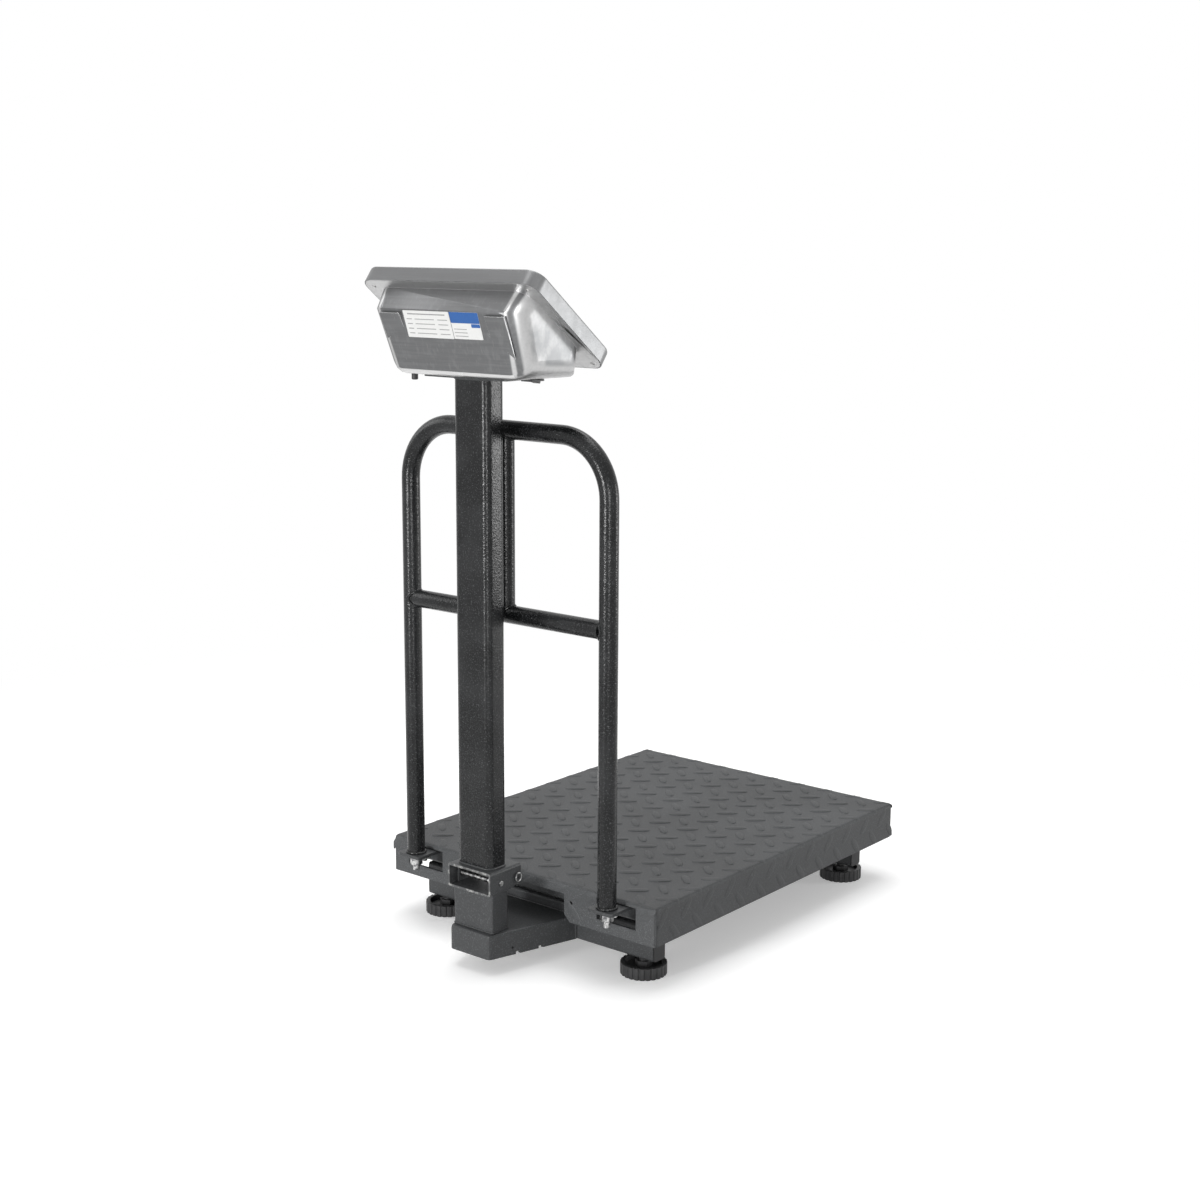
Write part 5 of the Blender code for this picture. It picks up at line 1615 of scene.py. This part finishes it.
@dataclass
class Labels:
    """Two blank labels on the rear face, one with a plain blue band, and rules on both.

    An area is given by its left, right, lower and upper edge on the rear face, a column by its
    left and right edge, and rows by the first one's level, their pitch, number and height.
    """

    palette: Palette
    head: Head
    film_areas: tuple = ((-0.0540, 0.0120, 0.0428, 0.0724), (0.0128, 0.0530, 0.0432, 0.0726))
    band_areas: tuple = ((0.0129, 0.0529, 0.0606, 0.0725), (0.0405, 0.0527, 0.0562, 0.0601))
    title_area: tuple = (-0.0480, 0.0060, 0.0680, 0.0693)
    columns: tuple = ((-0.0505, -0.0430), (-0.0390, -0.0110), (-0.0060, 0.0080))
    rows: tuple = (0.0470, 0.0052, 4, 0.0009)
    side_columns: tuple = ((0.0150, 0.0330),)
    side_rows: tuple = (0.0460, 0.0038, 3, 0.0008)
    film_proud: float = 0.00020
    ink_proud: float = 0.00027
    band_proud: float = 0.00030
    corner: float = 0.0008

    def build(self) -> None:
        """Lay the films, the bands and the rules as thin sheets."""
        for name, areas, proud, finish in (
            ("label_films", self.film_areas, self.film_proud, self.palette.paper),
            ("label_bands", self.band_areas, self.band_proud, self.palette.blue),
            ("label_rules", self.rule_areas(), self.ink_proud, self.palette.grey_ink),
        ):
            shape = bmesh.new()
            for left, right, low, high in areas:
                width, height = right - left, high - low
                sheet = slab(width, height, proud, min(self.corner, height / 3, width / 3))
                merge(shape, sheet, Matrix.Translation(((left + right) / 2, (low + high) / 2, 0)))
            mesh_piece(name, shape, finish, Body.COLUMN, self.head.rear)

    def rule_areas(self) -> list[tuple]:
        """List the rules in rows on both labels, and the one under the first label's top.

        Returns:
            The area of each rule.
        """
        rules = [self.title_area]
        for columns, (first, pitch, count, height) in (
            (self.columns, self.rows), (self.side_columns, self.side_rows)
        ):
            for level in (first + pitch * row for row in range(count)):
                rules += [(left, right, level, level + height) for left, right in columns]
        return rules


@dataclass
class DisplayFigures:
    """Three groups of four noughts on the display, each group with its point."""

    palette: Palette
    head: Head
    wide: float = 0.0100
    tall: float = 0.0185
    bar: float = 0.0017
    thick: float = 0.00012
    pitch: float = 0.0125
    first_x: float = -0.0718
    group_pitch: float = 0.0530
    level: float = -0.00358
    point_size: float = 0.0018
    point_corner: float = 0.0005
    point_y: float = 0.0214

    def build(self) -> None:
        """Build the figures as one piece."""
        shape = bmesh.new()
        for group in range(3):
            first = self.first_x + group * self.group_pitch
            for place in range(4):
                self.nought(shape, first + place * self.pitch)
            point = slab(self.point_size, self.point_size, self.thick, self.point_corner)
            seat = Matrix.Translation((first + 1.5 * self.pitch, self.point_y, 0))
            merge(shape, point, seat)
        seat = self.head.frame @ Matrix.Translation((0, 0, self.level))
        ink = self.palette.dark_ink
        mesh_piece("display_figures", shape, ink, Body.COLUMN, seat)

    def nought(self, target: bmesh.types.BMesh, x: float) -> None:
        """Add the six segments of a nought.

        Args:
            target: The bmesh of the figures.
            x: The figure's middle.
        """
        middle = self.head.window_middle[1]
        for rise in (1, -1):
            level = slab(self.wide - 1.6 * self.bar, self.bar, self.thick, self.bar / 3)
            y = middle + rise * (self.tall - self.bar) / 2
            merge(target, level, Matrix.Translation((x, y, 0)))
            for side in (1, -1):
                length = self.tall / 2 - 1.3 * self.bar
                upright = slab(self.bar, length, self.thick, self.bar / 3)
                beside = x + side * (self.wide - self.bar) / 2
                y = middle + rise * self.tall / 4
                merge(target, upright, Matrix.Translation((beside, y, 0)))


@dataclass
class KeyMarks:
    """A plain sign on each key, a ring, an arrow or bars, that moves with the key."""

    palette: Palette
    head: Head
    level: float = 0.0016
    thick: float = 0.00015
    arrow_radius: float = 0.0036
    ring: Flat = (0.0032, 0.0024)
    hand: Flat = (0.0008, 0.0034)
    hand_raise: float = 0.0022
    hand_corner: float = 0.0002
    bar: Flat = (0.0080, 0.0010)
    bar_pitch: float = 0.0018
    bar_corner: float = 0.0003

    def build(self) -> None:
        """Build one mark for each key."""
        for number in range(1, 9):
            low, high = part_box(f"key_{number}")
            middle = self.head.frame.inverted() @ ((low + high) / 2)
            seat = Matrix.Translation((middle.x, middle.y, self.level))
            shape = bmesh.new()
            for part, place in self.sign(number):
                merge(shape, part, seat @ place)
            mesh_piece(
                f"key_mark_{number}", shape, self.palette.dark_ink, Body(f"key_{number}_body"),
                self.head.frame,
            )

    def sign(self, number: int) -> list[tuple[bmesh.types.BMesh, Matrix]]:
        """Shape the sign of one key.

        Args:
            number: The key's number.

        Returns:
            Its parts and where each lies on the key.
        """
        thick = self.thick
        quarter_turns = {2: 0, 3: 2, 6: 1, 7: 3}
        if number in quarter_turns:
            arrow, radius = bmesh.new(), self.arrow_radius
            bmesh.ops.create_cone(
                arrow, cap_ends=True, segments=3, radius1=radius, radius2=radius, depth=thick
            )
            turn = Matrix.Rotation(quarter_turns[number] * math.pi / 2, 4, "Z")
            return [(arrow, Matrix.Translation((0, 0, thick / 2)) @ turn)]
        if number in (1, 8):
            outer, inner = self.ring
            edge = [(outer, 0), (outer, thick), (inner, thick), (inner, 0), (outer, 0)]
            hand = slab(*self.hand, thick, self.hand_corner)
            raised = Matrix.Translation((0, self.hand_raise if number == 8 else 0, 0))
            return [(turned(edge, 24), Matrix.Identity(4)), (hand, raised)]
        return [
            (
                slab(*self.bar, thick, self.bar_corner),
                Matrix.Translation((0, self.bar_pitch * step, 0)),
            )
            for step in (-1, 0, 1)
        ]


@dataclass
class WindowBezel:
    """The thin dark moulded frame round the display's window.

    Its outer and inner rim are given by width, height and corner radius.
    """

    palette: Palette
    head: Head
    outer: Point = (0.1820, 0.0560, 0.006)
    inner: Point = (0.1656, 0.0396, 0.002)
    back: float = -0.0002
    outer_front: float = 0.0009
    inner_front: float = 0.0003

    def build(self) -> None:
        """Bridge the four rims of the frame."""
        shape = bmesh.new()
        loops = []
        for size, level in (
            (self.outer, self.back), (self.outer, self.outer_front),
            (self.inner, self.inner_front), (self.inner, self.back),
        ):
            rim = [shape.verts.new((x, y, level)) for x, y in rounded_loop(*size)]
            loops.append([shape.edges.new(pair) for pair in zip(rim, rim[1:] + rim[:1])])
        for loop, after in zip(loops, loops[1:] + loops[:1]):
            bmesh.ops.bridge_loops(shape, edges=loop + after)
        bmesh.ops.recalc_face_normals(shape, faces=shape.faces)
        seat = self.head.frame @ Matrix.Translation((0, self.head.window_middle[1], 0.0))
        black = self.palette.by_slot[Slot.BLACK_PLASTIC]
        mesh_piece("window_bezel", shape, black, Body.COLUMN, seat)


@dataclass
class RearShell:
    """The head's rear shell as one pressed sheet: a flange, a tub with broad corners and a crisp
    crest, and the two wedges that are pressed out of its back.

    A wedge is given by its two sides, its upper end and where its two sides run out.
    """

    palette: Palette
    head: Head
    flange_size: Point = (0.2434, 0.1464, 0.0147)
    sheet: float = 0.0012
    half_width: float = 0.1083
    taper: float = 0.15
    upper: Flat = (0.0612, -0.017)
    toe: Flat = (-0.06486, -0.03660)
    lower: Flat = (-0.04993, -0.017)
    corner: float = 0.021
    crest_round: float = 0.0022
    heel_round: float = 0.0060
    fillet: float = 0.0014
    wedges: tuple = (
        ((-0.0871, -0.0580), 0.0700, (0.0395, 0.0520)),
        ((0.0635, 0.0905), 0.0700, (0.0440, 0.0240)),
    )
    wedge_rise: float = 0.0028
    wedge_sunk: float = 0.0004
    wedge_round: float = 0.0012
    smooth_angle: float = 50.0
    fold_width: float = 2e-5
    fold_reach: float = 1.2
    straight: float = 0.2

    def build(self) -> None:
        """Build the shell and its wedges."""
        shell = self.tub()
        self.flange(shell)
        bmesh.ops.recalc_face_normals(shell, faces=shell.faces)
        lowest = min(shell.faces, key=lambda face: face.calc_center_median().z)
        if lowest.normal.z > 0.0:
            bmesh.ops.reverse_faces(shell, faces=shell.faces)
        piece = self.pressed("rear_shell", shell, self.head.frame)
        wall = piece.modifiers.new("wall", "SOLIDIFY")
        wall.thickness = self.sheet
        wall.offset = -1.0
        piece.modifiers.move(1, 0)
        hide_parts("head_rear_shell")
        wedges = bmesh.new()
        for sides, top, feet in self.wedges:
            self.wedge(wedges, sides, top, feet)
        self.pressed("shell_wedges", wedges, self.head.rear)

    def pressed(self, name: str, shape: bmesh.types.BMesh, place: Matrix) -> bpy.types.Object:
        """Make a piece of steel sheet with the painted highlight as its second finish.

        Args:
            name: The piece's name.
            shape: The shape, which is freed.
            place: Where the shape lies.

        Returns:
            The new object.
        """
        steel = self.palette.by_slot[Slot.STAINLESS]
        piece = mesh_piece(
            name, shape, steel, Body.COLUMN, place, self.smooth_angle
        )
        # The second finish paints highlights.
        piece.data.materials.append(self.palette.painted_highlight)
        return piece

    def tub(self) -> bmesh.types.BMesh:
        """Shape the tub, open at its mouth.

        Returns:
            The tub, with a painted highlight on the straight part of its heel's rounding.
        """
        section = (self.upper, self.head.crest, self.head.heel, self.toe, self.lower)
        mouth = self.upper[1]
        shape = bmesh.new()
        side = shape.faces.new([shape.verts.new((-1.0, *point)) for point in section])
        grown = bmesh.ops.extrude_face_region(shape, geom=[side])["geom"]
        moved = [item for item in grown if isinstance(item, bmesh.types.BMVert)]
        bmesh.ops.translate(shape, vec=(2.0, 0.0, 0.0), verts=moved)
        for vert in shape.verts:
            vert.co.x *= self.half_width - self.taper * (mouth - vert.co.z)
        rims = [
            edge for edge in shape.edges
            if edge.verts[0].co.x * edge.verts[1].co.x > 0
            and not all(abs(vert.co.z - mouth) < TINY for vert in edge.verts)
        ]
        bevelled(shape, rims, self.corner, 6)
        self.round_fold(shape, self.upper, self.head.crest, self.head.heel, self.crest_round)
        heel = self.round_fold(shape, self.head.crest, self.head.heel, self.toe, self.heel_round)
        shape.normal_update()
        # A painted highlight along the straight part of the heel's rounding.
        for face in heel:
            face.material_index = int(abs(face.normal.x) < self.straight)
        lid = [
            face for face in shape.faces
            if all(abs(vert.co.z - mouth) < TINY for vert in face.verts)
        ]
        bmesh.ops.delete(shape, geom=lid, context="FACES_ONLY")
        return shape

    def round_fold(
        self, shape: bmesh.types.BMesh, before: Flat, point: Flat, after: Flat, offset: float
    ) -> list[bmesh.types.BMFace]:
        """Round the fold between two walls, on round the tub's corners.

        Args:
            shape: The tub.
            before: The section's corner before the fold.
            point: The fold.
            after: The section's corner after it.
            offset: How far along each wall the rounding starts.

        Returns:
            The faces of the rounding.
        """
        fold = Vector((0, *point))
        to_before = (Vector((0, *before)) - fold).normalized()
        to_after = (Vector((0, *after)) - fold).normalized()
        across = (to_before + to_after).normalized().cross(Vector((1, 0, 0)))
        reach = self.corner * self.fold_reach
        line = [
            edge for edge in shape.edges
            if all(
                abs((vert.co - fold).dot(across)) < self.fold_width
                and (Vector((0, vert.co.y, vert.co.z)) - fold).length < reach
                for vert in edge.verts
            )
        ]
        return bevelled(shape, line, offset, 3)

    def flange(self, shape: bmesh.types.BMesh) -> None:
        """Join a flat flange to the tub's mouth, with a painted highlight on the fillet between
        them.

        Args:
            shape: The open tub, which gets the flange.
        """
        mouth = [edge for edge in shape.edges if edge.is_boundary]
        rim = [shape.verts.new((x, y, self.upper[1])) for x, y in rounded_loop(*self.flange_size)]
        outer = [shape.edges.new(pair) for pair in zip(rim, rim[1:] + rim[:1])]
        bmesh.ops.bridge_loops(shape, edges=mouth + outer)
        # The fillet gets the painted highlight.
        for face in bevelled(shape, mouth, self.fillet, 2):
            face.material_index = 1

    def wedge(self, target: bmesh.types.BMesh, sides: Flat, top: float, feet: Flat) -> None:
        """Add a wedge that stands proud at its upper end and runs out to nothing below.

        Args:
            target: The bmesh that it joins.
            sides: Its two sides' X.
            top: Its upper end's Y.
            feet: Where its two sides run out.
        """
        part = block(1.0, 1.0, 1.0)
        sunk = self.wedge_sunk
        for vert in part.verts:
            right, high, proud = (value > 0 for value in vert.co)
            height = (self.wedge_rise if high else -sunk / 2) if proud else -sunk
            vert.co = (sides[right], top if high else feet[right], height)
        ridge = [
            edge for edge in part.edges if all(vert.co.z > -sunk * 0.9 for vert in edge.verts)
        ]
        # The wedge's rounded ridges get the painted highlight.
        for face in bevelled(part, ridge, self.wedge_round, 3, clamp=True):
            face.material_index = 1
        merge(target, part)


@dataclass
class BracketFittings:
    """The bright ring round each end of the hinge pin and the spring on the lock bolt."""

    palette: Palette
    ring: Flat = (0.0040, 0.0054)
    ring_proud: float = 0.0011
    ring_shoulder: float = 0.6
    ring_chamfer: Flat = (0.0003, 0.0005)
    ring_sunk: float = 0.0004
    wire: float = 0.0006
    coil: float = 0.0043
    turns: int = 5
    turn_steps: int = 14
    pitch: float = 0.0016
    spring_x: float = -0.0235
    spring_foot: Point = (-0.001, 0.002, -0.0035)

    def build(self) -> None:
        """Build the rings and the spring."""
        self.rings()
        self.spring()

    def rings(self) -> None:
        """Put a ring round each end of the hinge pin."""
        low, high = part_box("hinge_pin")
        middle = (low + high) / 2
        inner, outer = self.ring
        inner_chamfer, outer_chamfer = self.ring_chamfer
        shoulder = self.ring_proud * self.ring_shoulder
        profile = [
            (inner, 0.0), (outer, 0.0), (outer, shoulder),
            (outer - outer_chamfer, self.ring_proud), (inner + inner_chamfer, self.ring_proud),
            (inner, shoulder), (inner, 0.0),
        ]
        rings = bmesh.new()
        for side, end in ((-1, low.x), (1, high.x)):
            seat = Matrix.Translation((end - side * self.ring_sunk, middle.y, middle.z))
            outward = Matrix.Rotation(side * math.pi / 2, 4, "Y")
            merge(rings, turned(profile, 28), seat @ outward)
        zinc = self.palette.by_slot[Slot.ZINC]
        mesh_piece("pin_rings", rings, zinc, Body.COLUMN)

    def spring(self) -> None:
        """Wind the spring round the lock bolt."""
        low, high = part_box("lock_bolt")
        axis = (low + high) / 2
        path = []
        for step in range(self.turns * self.turn_steps + 1):
            angle = math.tau * step / self.turn_steps - math.pi / 2
            x = self.spring_x + self.pitch * step / self.turn_steps
            y = axis.y + self.coil * math.cos(angle)
            path.append(Vector((x, y, axis.z + self.coil * math.sin(angle))))
        foot = path[0] + Vector(self.spring_foot)
        spring = swept([foot, *path], self.wire, False, 2)
        zinc = self.palette.by_slot[Slot.ZINC]
        mesh_piece("lock_spring", spring, zinc, Body.COLUMN)


@dataclass
class Studio:
    """A pale floor, soft lamps, a white surround and the photograph's camera."""

    camera_place: Point = (-1.3362, 1.68678, 0.8067)
    camera_aim: Point = (0.0829, -0.05713, 0.3642)
    camera_roll: float = 0.311
    lens: float = 55.08
    sensor: float = 36.0
    floor_size: float = 30.0
    floor_drop: float = 0.0002
    floor_albedo: float = 0.80
    floor_glow: float = 0.32
    floor_near: float = 0.7
    floor_far: float = 1.6
    fill: float = 0.42

    def build(self) -> None:
        """Build the studio."""
        self.floor()
        self.surround()
        self.lamp("key_lamp", (0.35, 2.85, 0.46), (0, 0.2, 0.45), (0.40, 0.84), 40.0)
        self.lamp("strip_lamp", (-1.85, 2.15, 0.45), (0, 0.2, 0.45), (0.25, 0.8), 18.0)
        self.lamp("top_lamp", (0.3, -0.2, 3.0), (0, 0, 0.1), (2.4, 2.4), 62.0)
        self.lamp("side_lamp", (-1.91, -1.86, 0.48), (0, 0.2, 0.45), (0.45, 0.9), 18.0)
        self.lamp("far_lamp", (2.4, 1.2, 1.6), (0, 0.1, 0.4), (1.4, 1.4), 14.0)
        self.camera()
        bpy.context.scene.view_settings.view_transform = "Standard"

    def floor_finish(self) -> bpy.types.Material:
        """Mix the floor's finish, which runs into white away from the object.

        Returns:
            The material.
        """
        surface = Surface("studio_floor")
        seen = surface.seen()
        grain = surface.noise(0.4, 2.0)
        pale = self.floor_albedo + 0.02
        surface.put(
            Base_Color=surface.mix(grain, (self.floor_albedo,) * 3, (pale,) * 3),
            Roughness=0.9, Specular_IOR_Level=0.0,
        )
        glow = surface.node("ShaderNodeEmission", {}, {"Strength": seen * self.floor_glow})
        white = surface.node("ShaderNodeEmission", {}, {"Strength": 1.0 * seen})
        paint = Signal(surface, surface.shader.outputs[0])
        near = surface.node("ShaderNodeAddShader", {}, {0: paint, 1: glow})
        distance = surface.node(
            "ShaderNodeVectorMath", {"operation": "LENGTH"}, {0: surface.coordinates}, "Value"
        )
        away = distance.between(self.floor_near, self.floor_far)
        both = surface.node("ShaderNodeMixShader", {}, {0: away, 1: near, 2: white})
        surface.feed(surface.tree.nodes["Material Output"].inputs["Surface"], both)
        return surface.material

    def floor(self) -> None:
        """Lay the pale floor, which keeps the object's shadow."""
        shape = bmesh.new()
        bmesh.ops.create_grid(shape, x_segments=4, y_segments=4, size=self.floor_size)
        bmesh.ops.translate(shape, vec=(0, 0, -self.floor_drop), verts=shape.verts)
        new_object("studio_floor", shape, self.floor_finish())

    def surround(self) -> None:
        """Light from all sides at a plain level, with white where it is seen."""
        world = bpy.data.worlds.new("studio")
        world.use_nodes = True
        bpy.context.scene.world = world
        world.node_tree.nodes.clear()
        graph = Graph(world.node_tree)
        strength = self.fill + (1.0 - self.fill) * graph.seen()
        light = graph.node(
            "ShaderNodeBackground", {}, {"Strength": strength, "Color": (1, 1, 1, 1)}
        )
        graph.node("ShaderNodeOutputWorld", {}, {"Surface": light}, None)

    def lamp(self, name: str, place: Point, aim: Point, size: Flat, power: float) -> None:
        """Hang a soft lamp.

        Args:
            name: Its name.
            place: Where it hangs.
            aim: What it points at.
            size: Its width and height.
            power: Its power in watts.
        """
        light = bpy.data.lights.new(name, "AREA")
        light.shape = "RECTANGLE"
        light.size, light.size_y = size
        light.energy = power
        lamp = bpy.data.objects.new(name, light)
        lamp.location = place
        lamp.rotation_euler = (Vector(aim) - Vector(place)).to_track_quat("-Z", "Y").to_euler()
        bpy.context.scene.collection.objects.link(lamp)

    def camera(self) -> None:
        """Stand the camera where the photograph was taken from."""
        data = bpy.data.cameras.new("camera")
        data.lens = self.lens
        data.sensor_width = self.sensor
        data.clip_start = 0.01
        data.clip_end = 200.0
        camera = bpy.data.objects.new("camera", data)
        place = Vector(self.camera_place)
        turn = (Vector(self.camera_aim) - place).to_track_quat("-Z", "Y").to_matrix().to_4x4()
        roll = Matrix.Rotation(math.radians(self.camera_roll), 4, "Z")
        camera.matrix_world = Matrix.Translation(place) @ turn @ roll
        bpy.context.scene.collection.objects.link(camera)
        bpy.context.scene.camera = camera


def main() -> None:
    """Build the studio and dress the scale."""
    logging.basicConfig(level=logging.INFO, format="%(name)s: %(message)s")
    Studio().build()
    palette = Palette()
    SolidFinishes(palette).dress()
    for assembly in (TreadLugs, RailTubes, FrameWelds, ClampNuts, BracketFittings):
        assembly(palette).build()
    head = Head()
    for assembly in (
        FlangeFittings, Labels, DisplayFigures, KeyMarks, WindowBezel, RearShell
    ):
        assembly(palette, head).build()


if __name__ == "__main__":
    main()
